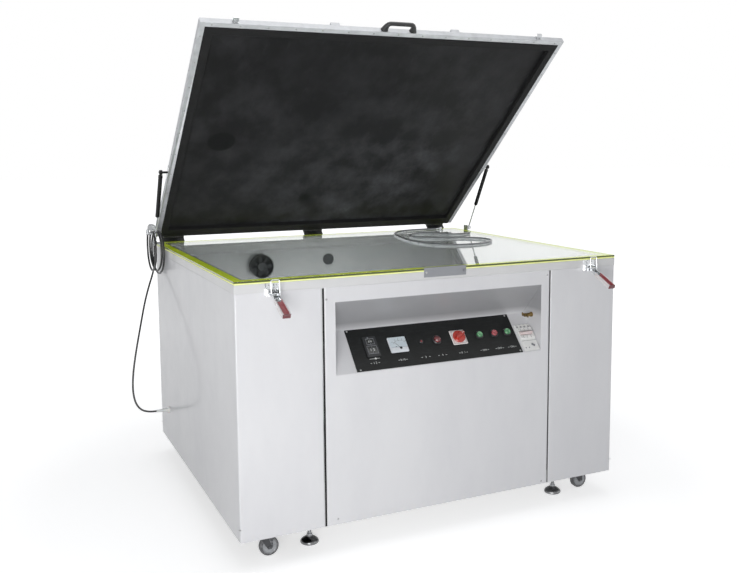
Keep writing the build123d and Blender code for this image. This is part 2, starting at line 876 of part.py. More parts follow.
def breaker_lever():
    """The linked toggle bar of the breaker, on its own cross pin."""
    width = pole_pitch * lever_slot_poles - 2 * lever_gap
    drum = Rot(0, 90, 0) * Cylinder(lever_drum_radius, width)
    thickness, reach = lever_bar
    grip = Box(width - 2 * lever_bar_inset, thickness, reach - lever_bar_inset)
    grip = Rot(lever_lean, 0, 0) * Pos(0, 0, (reach + lever_bar_inset) / 2) * grip
    return on_shelf(breaker_middle, lever_row, breaker_proud - lever_sunk) * (drum + grip)


def vent_valve():
    """A brass valve body through the recess wall, with a spindle for its handle."""
    face, axis = recess_right, (valve_y, valve_z)
    end = face - valve_reach
    collar = bar((face - valve_collar, *axis), (face, *axis), valve_radius)
    neck = bar((end, *axis), (face - valve_collar, *axis), valve_neck_radius)
    tail = bar((face, *axis), (face + valve_tail, *axis), valve_tail_radius)
    spindle = bar((end - spindle_length, *axis), (end, *axis), spindle_radius)
    return collar + neck + tail + spindle


def valve_handle():
    """A two-winged tap handle on the spindle."""
    start, axis = recess_right - valve_reach - tap_gap, (valve_y, valve_z)
    tap_radius, hub_length = tap_hub
    hub = bar((start - hub_length, *axis), (start, *axis), tap_radius)
    wing = block(
        (start - wing_inset - wing_thickness, start - wing_inset),
        (valve_y - wing_half, valve_y + wing_half),
        (valve_z - wing_height / 2, valve_z + wing_height / 2),
    )
    ends = (start - beyond, *axis), (start + beyond, *axis)
    return hub + wing - bar(*ends, spindle_radius + pin_clearance)


# ---- Lid, modelled closed and then opened ----------------------------------------------------

lid_axis = Axis((0, hinge_y, hinge_z), (1, 0, 0))
lid_half_l = lid_length / 2
lid_mid_y = (lid_rear_y + lid_front_y) / 2


def opened(piece):
    """Turns a lid piece from closed to the open stop."""
    return piece.rotate(lid_axis, -lid_open_angle)


def opened_point(y, z):
    """Turns a point of the closed lid to the open stop."""
    turn = math.radians(lid_open_angle)
    across, up = y - hinge_y, z - hinge_z
    return (
        hinge_y + across * math.cos(turn) + up * math.sin(turn),
        hinge_z - across * math.sin(turn) + up * math.cos(turn),
    )


def lid_frame():
    """Four mitred channel rails, open inwards, and two flat stiffeners over the blanket."""
    wall = ring(lid_half_w, lid_half_l, rail_wall, (lid_low_z, lid_high_z), lid_mid_y)
    foot = ring(lid_half_w, lid_half_l, rail_width, (lid_low_z, lid_low_z + rail_wall), lid_mid_y)
    cap = ring(lid_half_w, lid_half_l, rail_width, (lid_high_z - rail_wall, lid_high_z), lid_mid_y)
    channel = wall + foot + cap
    w, x, front, back = rail_width, lid_half_w, lid_front_y, lid_rear_y
    corners = [
        [(-x, front), (x, front), (x - w, front + w), (w - x, front + w)],
        [(-x, back), (x, back), (x - w, back - w), (w - x, back - w)],
        [(-x, front), (-x, back), (w - x, back - w), (w - x, front + w)],
        [(x, front), (x, back), (x - w, back - w), (x - w, front + w)],
    ]
    rails = [channel & slab(outline, (lid_low_z - 1, lid_high_z + 1)) for outline in corners]
    width, thick = stiffener_size
    for x in (-stiffener_x, stiffener_x):
        across = (x - width / 2, x + width / 2)
        rails.append(block(across, (lid_front_y, lid_rear_y), (lid_high_z, lid_high_z + thick)))
    return opened(group(rails))


def lid_seal():
    """A stepped sponge seal: foot in the channel, proud lip inside it, strip under the rear rail."""
    inner = rail_wall
    foot = ring(
        lid_half_w - inner,
        lid_half_l - inner,
        rail_width + seal_width - inner,
        (lid_low_z + rail_wall, blanket_low_z),
        lid_mid_y,
    )
    lip_low = glass_top_z + seal_clearance
    lip = ring(
        lid_half_w - rail_width,
        lid_half_l - rail_width,
        seal_width,
        (lip_low, blanket_low_z),
        lid_mid_y,
    )
    strip = block(
        (rail_width - lid_half_w, lid_half_w - rail_width),
        (lid_rear_y - rail_width, lid_rear_y - rear_strip_inset),
        (lip_low, lid_low_z),
    )
    return opened(foot + lip + strip)


def rubber_blanket():
    x = lid_half_w - rail_wall
    y = (lid_front_y + rail_wall, lid_rear_y - rail_wall)
    return opened(block((-x, x), y, (blanket_low_z, blanket_low_z + blanket_thickness)))


def lid_handle():
    """A bow handle on the front rail."""
    foot_half, bar_half = handle_foot_span / 2, handle_bar_span / 2
    width, thick, height = handle_foot
    bar_y = lid_front_y - handle_reach + handle_radius
    path = FilletPolyline(
        (-foot_half, lid_front_y, lid_mid_z),
        (-bar_half, bar_y, lid_mid_z),
        (bar_half, bar_y, lid_mid_z),
        (foot_half, lid_front_y, lid_mid_z),
        radius=handle_bend,
    )
    section = Plane(origin=path @ 0, z_dir=path % 0) * Circle(handle_radius)
    bow = sweep(section, path=path)
    bow -= block((-lid_half_w, lid_half_w), (lid_front_y, lid_rear_y), (lid_low_z, lid_high_z))
    foot_z = (lid_mid_z - height / 2, lid_mid_z + height / 2)
    for x in (-foot_half, foot_half):
        bow += block((x - width / 2, x + width / 2), (lid_front_y - thick, lid_front_y), foot_z)
    return opened(bow)


def lid_catches():
    """Two hooked catches on the front rail and the two plates that the struts push on."""
    pieces = []
    thick, end_y = catch_thickness, lid_front_y - catch_reach
    low, high = lid_mid_z + catch_hook[0], lid_mid_z + catch_hook[1]
    half_height = catch_plate_height / 2
    for x in (-catch_x, catch_x):
        across = (x - catch_width / 2, x + catch_width / 2)
        plate_z = (lid_mid_z - half_height, lid_mid_z + half_height)
        plate = block(across, (lid_front_y - thick, lid_front_y), plate_z)
        ledge = block(across, (end_y, lid_front_y), (low, low + thick))
        pieces.append(plate + ledge + block(across, (end_y, end_y + thick), (low, high)))
    length, height = lid_plate_size
    y = lid_rear_y - strut_from_lid_rear
    for side in (-1, 1):
        x = sorted((side * lid_half_w, side * (lid_half_w + lid_plate_thickness)))
        z = (lid_mid_z - height / 2, lid_mid_z + height / 2)
        pieces.append(block(x, (y - length / 2, y + length / 2), z))
    return opened(group(pieces))


def knuckle(x0, x1, radius=barrel_radius):
    return bar((x0, hinge_y, hinge_z), (x1, hinge_y, hinge_z), radius)


def hinge_lower_leaves():
    """Leaf plates screwed to the back, each with two outer knuckles and the pin."""
    pieces = []
    for x in hinge_x:
        half = hinge_width / 2
        ends = ((x - half, x - half + knuckle_width), (x + half - knuckle_width, x + half))
        nose_y, nose_z = hinge_y + leaf_lip, hinge_z - barrel_radius
        outline = [
            (rear_y, glass_low_z - leaf_drop),
            (rear_y + leaf_thickness, glass_low_z - leaf_drop),
            (rear_y + leaf_thickness, glass_low_z - leaf_bend[0]),
            (nose_y, nose_z + leaf_nose[1]),
            (nose_y - leaf_nose[0], nose_z + leaf_lip),
            (rear_y, glass_low_z - leaf_bend[1]),
        ]
        plate = prism(outline, (x - half, x + half))
        middle = (x - half + knuckle_width - side_clearance, x + half - knuckle_width + side_clearance)
        room = barrel_radius + side_clearance
        leaf = plate - bar((middle[0], hinge_y, hinge_z), (middle[1], hinge_y, hinge_z), room)
        for start, end in ends:
            leaf += knuckle(start, end)
        leaf += knuckle(x - half, x + half, pin_radius)
        pieces.append(leaf)
    return group(pieces)


def hinge_upper_leaves():
    """Leaf plates on the rear rail, each with the middle knuckle."""
    pieces = []
    for x in hinge_x:
        half = hinge_width / 2
        inner = half - knuckle_width - side_clearance
        plate = block(
            (x - half, x + half),
            (lid_rear_y, lid_rear_y + leaf_thickness),
            (lid_low_z + upper_leaf_inset[0], lid_high_z - upper_leaf_inset[1]),
        )
        lug_z = (hinge_z - lug_below, hinge_z + barrel_radius)
        lug = block((x - inner, x + inner), (lid_rear_y, hinge_y), lug_z)
        leaf = plate + lug + knuckle(x - inner, x + inner)
        pieces.append(leaf - knuckle(x - half, x + half, pin_radius + pin_clearance))
    return opened(group(pieces))


# ---- Gas struts ------------------------------------------------------------------------------

strut_base = Vector(0, strut_base_y, glass_top_z + strut_base_above_glass)
strut_closed_end = Vector(0, lid_rear_y - strut_from_lid_rear, lid_mid_z)
strut_open_end = Vector(0, *opened_point(strut_closed_end.Y, strut_closed_end.Z))
strut_open_length = (strut_open_end - strut_base).length
strut_closed_length = (strut_closed_end - strut_base).length


def strut_point(side, distance):
    """A point on a strut's line, counted from its lower pivot."""
    direction = (strut_open_end - strut_base).normalized()
    return Vector(side * strut_x[side], 0, 0) + strut_base + direction * distance


def cross_bar(side, centre, inner, outer, radius):
    """A round piece across the strut, between two distances from the middle of the cabinet."""
    return bar((side * inner, centre.Y, centre.Z), (side * outer, centre.Y, centre.Z), radius)


def strut_brackets():
    """Plates on the cabinet's sides with the lower pivot studs; the left one has a cord peg."""
    pieces = []
    for side in (-1, 1):
        face, back = half_w, half_w + bracket_thickness
        y = (strut_base_y - bracket_half, strut_base_y + bracket_half)
        z = (rim_low_z - bracket_below, strut_base.Z + bracket_above)
        plate = block(sorted((side * face, side * back)), y, z)
        outer = strut_x[side] + eye_width / 2 + stud_end_gap
        stud = cross_bar(side, strut_base, back, outer, stud_radius)
        head_radius, head_length = stud_head
        head = cross_bar(side, strut_base, outer - 1, outer - 1 + head_length, head_radius)
        pieces.append(plate + stud + head)
    peg_y = coil_center[0]
    peg_z = coil_center[1] - lead_radius - peg_radius - peg_gap
    reach = -coil_start_x + coil_pitch * coil_turns + peg_past_coil
    face = (-half_w - bracket_thickness, -half_w)
    low, high = strut_base.Z + bracket_above, peg_z + peg_radius + 1
    riser = block(face, (strut_base_y - riser_y[0], strut_base_y + riser_y[1]), (low, high))
    peg = bar((-half_w - 1, peg_y, peg_z), (-reach, peg_y, peg_z), peg_radius)
    tip_x = -reach + peg_radius
    tip = bar((tip_x, peg_y, peg_z), (tip_x, peg_y, peg_z + peg_tip), peg_radius)
    pieces[0] = pieces[0] + riser + peg + tip
    return group(pieces)


def strut_rod(side):
    """Polished rod with its eye on the lower stud."""
    x = strut_x[side]
    eye = cross_bar(side, strut_base, x - eye_width / 2, x + eye_width / 2, eye_radius)
    rod_end = strut_closed_length - rod_tip_gap
    rod = bar(strut_point(side, 0), strut_point(side, rod_end), rod_radius)
    hole_ends = (x - eye_width, x + eye_width)
    hole = cross_bar(side, strut_base, *hole_ends, stud_radius + pin_clearance)
    return eye + rod - hole


def strut_cylinder(side):
    """Black cylinder with the upper eye and a stud that stops just short of the lid's plate."""
    top = strut_open_length - eye_radius - eye_gap
    start = top - cylinder_length
    body = bar(strut_point(side, start), strut_point(side, top), strut_radius)
    end = strut_point(side, strut_open_length)
    neck = bar(strut_point(side, top - hair), end, neck_radius)
    x = strut_x[side]
    eye = cross_bar(side, end, x - eye_width / 2, x + eye_width / 2, eye_radius)
    plate_face = lid_half_w + lid_plate_thickness + lid_plate_gap
    stud = cross_bar(side, end, plate_face, x + eye_width / 2 + stud_over, stud_radius)
    bore_end = strut_open_length - rod_tip_gap + bore_end_gap
    bore = bar(strut_point(side, start - 1), strut_point(side, bore_end), rod_radius + pin_clearance)
    return (body - bore) + neck + eye + stud


# ---- Toggle latches --------------------------------------------------------------------------

latch_pivot = Vector(0, front_y - latch_base_thickness - latch_pivot_out, latch_pivot_z)
droop = math.radians(latch_droop)
lever_out = Vector(0, -math.cos(droop), -math.sin(droop))
lever_up = Vector(0, -math.sin(droop), math.cos(droop))
hook_pivot = latch_pivot + lever_out * hook_out + lever_up * hook_up


def latch_bases():
    """A plate on the band with two ears and the lever's pin."""
    pieces = []
    width, height = latch_base_size
    base_y, base_z = (front_y - latch_base_thickness, front_y), (rim_top_z - height, rim_top_z)
    ear_z = (latch_pivot_z + ear_height[0], latch_pivot_z + ear_height[1])
    for x in (-catch_x, catch_x):
        plate = block((x - width / 2, x + width / 2), base_y, base_z)
        for side in (-1, 1):
            inner = side * (hook_width / 2 + ear_gap)
            ear_x = sorted((x + inner, x + inner + side * ear_thickness))
            plate += block(ear_x, (latch_pivot.Y - ear_ahead, front_y), ear_z)
        reach = hook_width / 2 + ear_gap + ear_thickness
        start = (x - reach, latch_pivot.Y, latch_pivot.Z)
        plate += bar(start, (x + reach, latch_pivot.Y, latch_pivot.Z), latch_pin_radius)
        pieces.append(plate)
    return group(pieces)


def latch_handle(x):
    """A steel lever with a vinyl sleeve over its outer part."""
    seat = Plane(origin=(x, latch_pivot.Y, latch_pivot.Z), x_dir=(1, 0, 0), z_dir=lever_up)
    base = seat.location
    length, middle = lever_behind + lever_length, (lever_behind - lever_length) / 2
    lever = base * Pos(0, middle, lever_raise) * Box(lever_width, length, lever_thickness)
    lever += base * Pos(0, -hook_out, hook_up) * Box(lever_width, *hook_lug)
    grip_end = lever_length + grip_over
    sleeve = Box(grip_width, grip_end - grip_start, grip_thickness)
    sleeve = base * Pos(0, -(grip_start + grip_end) / 2, lever_raise) * sleeve
    sleeve = fillet(sleeve.edges(), grip_round)
    holes = []
    for pivot, radius in ((latch_pivot, latch_pin_radius), (hook_pivot, hook_wire)):
        ends = (x - hook_width, pivot.Y, pivot.Z), (x + hook_width, pivot.Y, pivot.Z)
        holes.append(bar(*ends, radius + pin_clearance))
    return group([lever - holes[0] - holes[1], sleeve - lever])


def latch_hook(x):
    """A closed wire loop through the lever, leaning back towards the cabinet."""
    half = hook_width / 2 - hook_wire
    lean = math.radians(hook_lean)
    top = hook_pivot + Vector(0, math.sin(lean), math.cos(lean)) * hook_height
    path = FilletPolyline(
        (x, hook_pivot.Y, hook_pivot.Z),
        (x + half, hook_pivot.Y, hook_pivot.Z),
        (x + half, top.Y, top.Z),
        (x - half, top.Y, top.Z),
        (x - half, hook_pivot.Y, hook_pivot.Z),
        (x - hair, hook_pivot.Y, hook_pivot.Z),
        radius=[*hook_bends, *hook_bends[::-1]],
    )
    section = Plane(origin=path @ 0, z_dir=path % 0) * Circle(hook_wire)
    wire = sweep(section, path=path)
    start = (x - 1, hook_pivot.Y, hook_pivot.Z)
    return wire + bar(start, (x + 1, hook_pivot.Y, hook_pivot.Z), hook_wire)


# ---- Casters and feet ------------------------------------------------------------------------


fork_top_z = underside_z - caster_plate_thickness - race_height - race_clearance


def fork(x, y):
    """Two legs under a round top, with the wheel's axle."""
    top, low = fork_top_z, fork_top_z - fork_crown
    outer = wheel_width / 2 + fork_gap + fork_thickness
    crown = Pos(x, y, (top + low) / 2) * Cylinder(race_radius - fork_crown_inset, fork_crown)
    wheel_x = x + caster_trail
    outline = [
        (x - fork_back, low),
        (x - fork_back, top),
        (wheel_x + fork_front[0], top),
        (wheel_x + fork_front[1], wheel_z - fork_foot[0]),
        (wheel_x + fork_front[2], wheel_z - fork_foot[1]),
        (wheel_x - fork_front[2], wheel_z - fork_foot[1]),
    ]
    bridge_x = (x - fork_back, wheel_x + fork_front[0])
    piece = crown + block(bridge_x, (y - outer, y + outer), (low, top))
    for side in (-1, 1):
        near = y + side * (wheel_width / 2 + fork_gap)
        corners = [(px, near, pz) for px, pz in outline]
        face = make_face(Polyline(*corners, close=True))
        piece += extrude(face, fork_thickness, dir=(0, side, 0))
    end = outer + axle_over
    axle = bar((wheel_x, y - end, wheel_z), (wheel_x, y + end, wheel_z), axle_radius)
    return piece + axle


def caster_plates():
    """Four mounting plates: front ones with a bearing race, rear ones with a fixed fork."""
    pieces = []
    half = caster_plate / 2
    z = (underside_z - caster_plate_thickness, underside_z)
    for x, y in (caster_left, caster_right):
        plate = block((x - half, x + half), (y - half, y + half), z)
        race = Pos(x, y, z[0] - race_height / 2) * Cylinder(race_radius, race_height)
        bore = Pos(x, y, z[0]) * Cylinder(kingpin_radius + pin_clearance, 4 * race_height)
        pieces.append(plate + race - bore)
    for x, y in (caster_rear_left, caster_rear_right):
        plate = block((x - half, x + half), (y - half, y + half), z)
        packer = Cylinder(race_radius, race_height + 2 * packer_overlap)
        packer = Pos(x, y, z[0] - race_height / 2) * packer
        pieces.append(plate + packer + fork(x, y))
    return group(pieces)


def caster_fork(x, y):
    """A swivel fork with its kingpin."""
    ends = (x, y, fork_top_z - fork_crown / 2), (x, y, underside_z - kingpin_short)
    return fork(x, y) + bar(*ends, kingpin_radius)


def caster_wheel(x, y):
    """A tyred wheel with a hub that stands a little proud."""
    wheel_x = x + caster_trail
    half = wheel_width / 2
    wheel = bar((wheel_x, y - half, wheel_z), (wheel_x, y + half, wheel_z), wheel_radius)
    wheel = fillet(wheel.edges(), tyre_round)
    proud = half + fork_gap - hub_clearance
    wheel += bar((wheel_x, y - proud, wheel_z), (wheel_x, y + proud, wheel_z), hub_radius)
    for side in (-1, 1):
        wheel -= ring_bar(wheel_x, y + side * half, *dish_radii, dish_depth)
    ends = (wheel_x, y - wheel_width, wheel_z), (wheel_x, y + wheel_width, wheel_z)
    return wheel - bar(*ends, axle_radius + pin_clearance)


def ring_bar(x, y, inner, outer, depth):
    """A round groove in a wheel's face."""
    disc = bar((x, y - depth, wheel_z), (x, y + depth, wheel_z), outer)
    return disc - bar((x, y - depth - 1, wheel_z), (x, y + depth + 1, wheel_z), inner)


def foot(x, y):
    """A domed foot on a threaded stem."""
    profile = [
        (0, 0),
        (foot_radius, 0),
        (foot_radius, foot_rim),
        foot_shoulder,
        (foot_top_radius, foot_height),
        (0, foot_height),
    ]
    face = make_face(Polyline(*[(r, 0, z) for r, z in profile], close=True))
    dome = revolve(face, Axis.Z)
    collar_radius, collar_height = foot_collar
    collar = Pos(0, 0, foot_height) * Cylinder(collar_radius, 2 * collar_height)
    stem = bar((0, 0, foot_height - foot_rim), (0, 0, stem_top_z), stem_radius)
    return Pos(x, y, 0) * (dome + collar + stem)


# ---- Cords -----------------------------------------------------------------------------------


def tube(points, radius, name):
    """A cord's free stretch: straight runs joined by the largest arcs that the runs allow."""
    corners = [Vector(*p) for p in points]
    runs = [b - a for a, b in zip(corners, corners[1:])]
    radii = []
    for before, after in zip(runs, runs[1:]):
        shorter = min(before.length, after.length)
        turn = math.radians(before.get_angle(after))
        radii.append(0.45 * shorter / math.tan(turn / 2))
    path = FilletPolyline(*corners, radius=radii)
    section = Plane(origin=path @ 0, z_dir=path % 0) * Circle(radius)
    cord = sweep(section, path=path)
    expected = math.pi * radius**2 * path.length
    print(name, "radii", [round(r) for r in radii], "runs", [round(r.length) for r in runs])
    print(name, "length", round(path.length), "volume ratio", round(cord.volume / expected, 4))
    return cord


def elbow_mouth():
    x, y = elbow_at
    return x - elbow_radius - elbow_arm, y


def hose_elbow():
    """A low brass elbow through the glass."""
    x, y = elbow_at
    body = Pos(x, y, glass_top_z + elbow_height / 2) * Cylinder(elbow_radius, elbow_height)
    stem_ends = (x, y, glass_low_z - elbow_stem_below), (x, y, glass_top_z)
    stem = bar(*stem_ends, elbow_stem_radius - pin_clearance)
    nut_radius, nut_height, nut_gap = elbow_nut
    nut = Cylinder(nut_radius, nut_height)
    nut = Pos(x, y, glass_low_z - nut_gap - nut_height / 2) * nut
    mouth_x, _ = elbow_mouth()
    z = glass_top_z + hose_radius + hose_lift
    return body + stem + nut + bar((x, y, z), (mouth_x, y, z), hose_radius)


# The hose lies loose on the glass: down the left, round the front and back inside its own loop.
hose_route = [
    (elbow_mouth()[0], elbow_at[1]),
    (475, 500),
    (415, 497),
    (352, 474),
    (300, 420),
    (264, 345),
    (244, 262),
    (228, 172),
    (218, 80),
    (228, -4),
    (262, -68),
    (324, -101),
    (402, -96),
    (470, -62),
    (512, 0),
    (508, 68),
    (462, 120),
    (396, 138),
    (330, 162),
    (288, 216),
    (300, 292),
    (354, 352),
    (414, 350),
    (448, 302),
    (482, 256),
    (528, 246),
    (570, 272),
]


def vacuum_hose():
    z = glass_top_z + hose_radius + hose_lift
    return tube([(x, y, z) for x, y in hose_route], hose_radius, "vacuum_hose")


def mains_gland():
    """A white strain relief in the left panel, tapering outwards round the lead."""
    face, axis = -half_w, (gland_y, gland_z)
    nut_radius, nut_length = gland_nut
    nut = bar((face - nut_length, *axis), (face, *axis), nut_radius)
    inner = bar((face, *axis), (face + gland_inside, *axis), gland_bore_radius - pin_clearance)
    sleeve = bar((face - gland_length, *axis), (face - nut_length, *axis), gland_sleeve_radius)
    return nut + inner + sleeve


def coil_point(turns):
    """The centreline of the hank: up the rear side, over the peg and down inside the strut."""
    angle = 2 * math.pi * turns
    tall = coil_half_height + 3.5 * math.sin(1.9 * turns + 0.4)
    deep = coil_half_depth + 2.5 * math.sin(2.3 * turns)
    swing = coil_swings[int(turns)] * (1 - math.cos(angle)) / 2
    lift = coil_end_lift * max(0.0, math.sin(angle)) if turns > coil_turns else 0.0
    y, top = coil_center
    return Vector(
        coil_start_x - coil_pitch * turns + swing,
        y + deep * math.cos(angle),
        top - tall + tall * math.sin(angle) + lift,
    )


def coil_tangent(turns):
    step = 1e-4
    return (coil_point(turns + step) - coil_point(turns - step)).normalized()


def biarc(start, start_dir, end, end_dir):
    """Two tangent arcs between two points with given directions."""
    across = end - start
    both = start_dir + end_dir
    spread = 2 * (1 - start_dir.dot(end_dir))
    along = across.dot(both)
    reach = (math.sqrt(along**2 + spread * across.dot(across)) - along) / spread
    near, far = start + start_dir * reach, end - end_dir * reach
    join = (near + far) / 2
    first = TangentArc(start, join, tangent=start_dir)
    return [first, TangentArc(join, end, tangent=(far - near).normalized())]


def mains_coil():
    """Spare lead wound in one tube and hung on the peg, so that it lies round the strut's foot."""
    end_run = 2 * lead_radius
    steps = 4 * coil_turns + 1
    start, end = coil_point(0), coil_point(steps / 4)
    edges = [Line(start - coil_tangent(0) * end_run, start)]
    for step in range(steps):
        a, b = step / 4, (step + 1) / 4
        edges += biarc(coil_point(a), coil_tangent(a), coil_point(b), coil_tangent(b))
    edges.append(Line(end, end + coil_tangent(steps / 4) * end_run))
    path = Wire([edge for curve in edges for edge in curve.edges()])
    section = Plane(origin=path @ 0, z_dir=path % 0) * Circle(lead_radius)
    coil = sweep(section, path=path)
    samples = [path @ (i / 1200) for i in range(1201)]
    nearest = min(
        (samples[i] - samples[j]).length
        for i in range(0, 1201, 4)
        for j in range(i + 60, 1201, 2)
    )
    expected = math.pi * lead_radius**2 * path.length
    print("mains_coil length", round(path.length), "least gap", round(nearest - 2 * lead_radius, 2))
    print("mains_coil volume ratio", round(coil.volume / expected, 4))
    return coil


def coil_start():
    return coil_point(0) - coil_tangent(0) * 2 * lead_radius


def lead_route():
    """From the gland out past the corner of the cabinet and up to the coil."""
    mouth = (-half_w - gland_length, gland_y, gland_z)
    end = coil_start()
    below = end - coil_tangent(0) * 40
    chosen = [
        (-734, 407, 207),
        (-765, 417, 228),
        (-777, 428, 272),
        (-775, 438, 330),
        (-764, 448, 396),
        (-748, 460, 466),
        (-730, 476, 536),
        (-712, 494, 604),
        (-692, 508, 664),
        (-672, 516, 716),
    ]
    return [mouth, *chosen, tuple(below), tuple(end)]


def mains_lead():
    return tube(lead_route(), lead_radius, "mains_lead")


def mains_plug():
    """A round plug on top of the hank, pointing forwards, with two pins."""
    last = coil_turns + 0.25
    ahead = coil_tangent(last)
    seat = coil_point(last) + ahead * 2 * lead_radius
    relief_wall, relief_length = plug_relief
    relief = bar(seat, seat + ahead * relief_length, lead_radius + relief_wall)
    start = relief_length - plug_overlap
    body = bar(seat + ahead * start, seat + ahead * (start + plug_length), plug_radius)
    plug = relief + fillet(body.edges(), plug_round)
    blade_radius, pin_length = pin_size
    for side in (-1, 1):
        tip = seat + ahead * (start + plug_length + pin_length) + Vector(0, 0, side * pin_offset)
        plug += bar(tip - ahead * (pin_length + plug_overlap), tip, blade_radius)
    return plug


# ---- Everything by name ----------------------------------------------------------------------

nodes = {
    "welded_frame": welded_frame(),
    "left_side_panel": left_side_panel(),
    "right_side_panel": right_side_panel(),
    "centre_front_panel": centre_front_panel(),
    "back_panel": back_panel(),
    "control_recess": control_recess(),
    "edge_gasket": edge_gasket(),
    "glass_plate": glass_plate(),
    "front_edge_plate": front_edge_plate(),
    "lamp_reflector": lamp_reflector(),
    "exposure_lamp": exposure_lamp(),
    "ballast": ballast(),
    "vacuum_pump": vacuum_pump(),
    "fan_housing": fan_housing(),
    "fan_rotor": fan_rotor(),
    "control_plate": control_plate(),
    "timer": timer(),
    "ammeter": ammeter(),
    "panel_bezels": panel_bezels(),
    "start_button": push_button(button_x[0]),
    "stop_button": push_button(button_x[1]),
    "vacuum_button": push_button(button_x[2]),
    "switch_plate": switch_plate(),
    "switch_knob": switch_knob(),
    "circuit_breaker": circuit_breaker(),
    "breaker_lever": breaker_lever(),
    "vent_valve": vent_valve(),
    "valve_handle": valve_handle(),
    "lid_frame": lid_frame(),
    "lid_seal": lid_seal(),
    "rubber_blanket": rubber_blanket(),
    "lid_handle": lid_handle(),
    "lid_catches": lid_catches(),
    "hinge_lower_leaves": hinge_lower_leaves(),
    "hinge_upper_leaves": hinge_upper_leaves(),
    "strut_brackets": strut_brackets(),
    "strut_rod_left": strut_rod(-1),
    "strut_rod_right": strut_rod(1),
    "strut_cylinder_left": strut_cylinder(-1),
    "strut_cylinder_right": strut_cylinder(1),
    "latch_bases": latch_bases(),
    "latch_handle_left": latch_handle(-catch_x),
    "latch_handle_right": latch_handle(catch_x),
    "latch_hook_left": latch_hook(-catch_x),
    "latch_hook_right": latch_hook(catch_x),
    "caster_plates": caster_plates(),
    "caster_fork_left": caster_fork(*caster_left),
    "caster_fork_right": caster_fork(*caster_right),
    "caster_wheel_front_left": caster_wheel(*caster_left),
    "caster_wheel_front_right": caster_wheel(*caster_right),
    "caster_wheel_rear_left": caster_wheel(*caster_rear_left),
    "caster_wheel_rear_right": caster_wheel(*caster_rear_right),
    "foot_left": foot(*foot_left),
    "foot_right": foot(*foot_right),
    "mains_gland": mains_gland(),
    "mains_lead": mains_lead(),
    "mains_coil": mains_coil(),
    "mains_plug": mains_plug(),
    "hose_elbow": hose_elbow(),
    "vacuum_hose": vacuum_hose(),
}

# The origin is the bottom middle of everything but the mains lead, its coil, plug and gland, and
# the hose.
cord_nodes = ("mains_gland", "mains_lead", "mains_coil", "mains_plug", "hose_elbow", "vacuum_hose")
boxes = [shape.bounding_box() for name, shape in nodes.items() if name not in cord_nodes]
middle_x = (min(box.min.X for box in boxes) + max(box.max.X for box in boxes)) / 2
middle_y = (min(box.min.Y for box in boxes) + max(box.max.Y for box in boxes)) / 2
to_origin = Pos(-middle_x, -middle_y, 0)

os.makedirs("parts", exist_ok=True)
for name, shape in nodes.items():
    export_step(to_origin * shape, f"parts/{name}.step")

lid_turn = math.radians(lid_open_angle)
rod_open = math.atan2(strut_open_end.Z - strut_base.Z, strut_open_end.Y - strut_base.Y)
rod_closed = math.atan2(strut_closed_end.Z - strut_base.Z, strut_closed_end.Y - strut_base.Y)
print("moved by", round(-middle_x, 3), round(-middle_y, 3))
print("rod ratio", (rod_closed - rod_open) / lid_turn)
print("slide ratio", (strut_open_length - strut_closed_length) / 1000 / lid_turn)
print("nodes", len(nodes))
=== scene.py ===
import json
import math

import bmesh
import bpy
from mathutils import Matrix, Vector


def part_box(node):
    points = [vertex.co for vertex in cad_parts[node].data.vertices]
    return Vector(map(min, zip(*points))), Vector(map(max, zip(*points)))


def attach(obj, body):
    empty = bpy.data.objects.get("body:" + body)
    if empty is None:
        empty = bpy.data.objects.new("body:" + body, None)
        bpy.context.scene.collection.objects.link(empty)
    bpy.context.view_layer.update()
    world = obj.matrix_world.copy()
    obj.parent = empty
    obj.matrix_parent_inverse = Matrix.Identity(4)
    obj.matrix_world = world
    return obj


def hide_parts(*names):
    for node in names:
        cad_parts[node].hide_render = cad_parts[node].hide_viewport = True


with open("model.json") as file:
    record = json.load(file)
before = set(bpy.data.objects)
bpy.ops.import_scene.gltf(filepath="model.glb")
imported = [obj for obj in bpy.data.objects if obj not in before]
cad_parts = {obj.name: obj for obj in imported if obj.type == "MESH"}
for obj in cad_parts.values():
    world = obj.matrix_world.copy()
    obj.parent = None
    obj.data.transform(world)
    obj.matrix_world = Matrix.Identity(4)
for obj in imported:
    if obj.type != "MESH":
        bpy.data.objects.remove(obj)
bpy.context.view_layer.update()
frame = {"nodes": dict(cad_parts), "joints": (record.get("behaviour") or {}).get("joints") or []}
scene = bpy.context.scene
scene.view_settings.view_transform = "Standard"


# ---- Studio ---------------------------------------------------------------------------------
# The table stands on a pale seamless floor in soft light: a broad lamp in front and to the left,
# weaker ones to the right and overhead, and an even surround that metal and glass see as white.
# A small lamp under the glass stands in for the daylight that the pale room sends into it.


def put(tree, kind, inputs=None, **settings):
    """Adds a node. An input given as a socket is linked, a list of sockets is linked in turn."""
    added = tree.nodes.new(kind)
    for name, value in settings.items():
        setattr(added, name, value)
    for key, value in (inputs or {}).items():
        for source in value if isinstance(value, list) else [value]:
            if isinstance(source, bpy.types.NodeSocket):
                tree.links.new(source, added.inputs[key])
            else:
                added.inputs[key].default_value = source
    return added


def linear(*levels):
    """Screen levels from 0 to 255 as the light values that a shader takes."""
    parts = [level / 255 for level in levels]
    return (*[((p + 0.055) / 1.055) ** 2.4 if p > 0.04045 else p / 12.92 for p in parts], 1.0)


def sums(tree, operation, first, second):
    return put(tree, "ShaderNodeMath", {0: first, 1: second}, operation=operation).outputs[0]


def span(tree, value, low, high, start=0.0, end=1.0):
    """Carries a value from one range to another, held at both ends."""
    inputs = {"Value": value, "From Min": low, "From Max": high, "To Min": start, "To Max": end}
    return put(tree, "ShaderNodeMapRange", inputs).outputs["Result"]


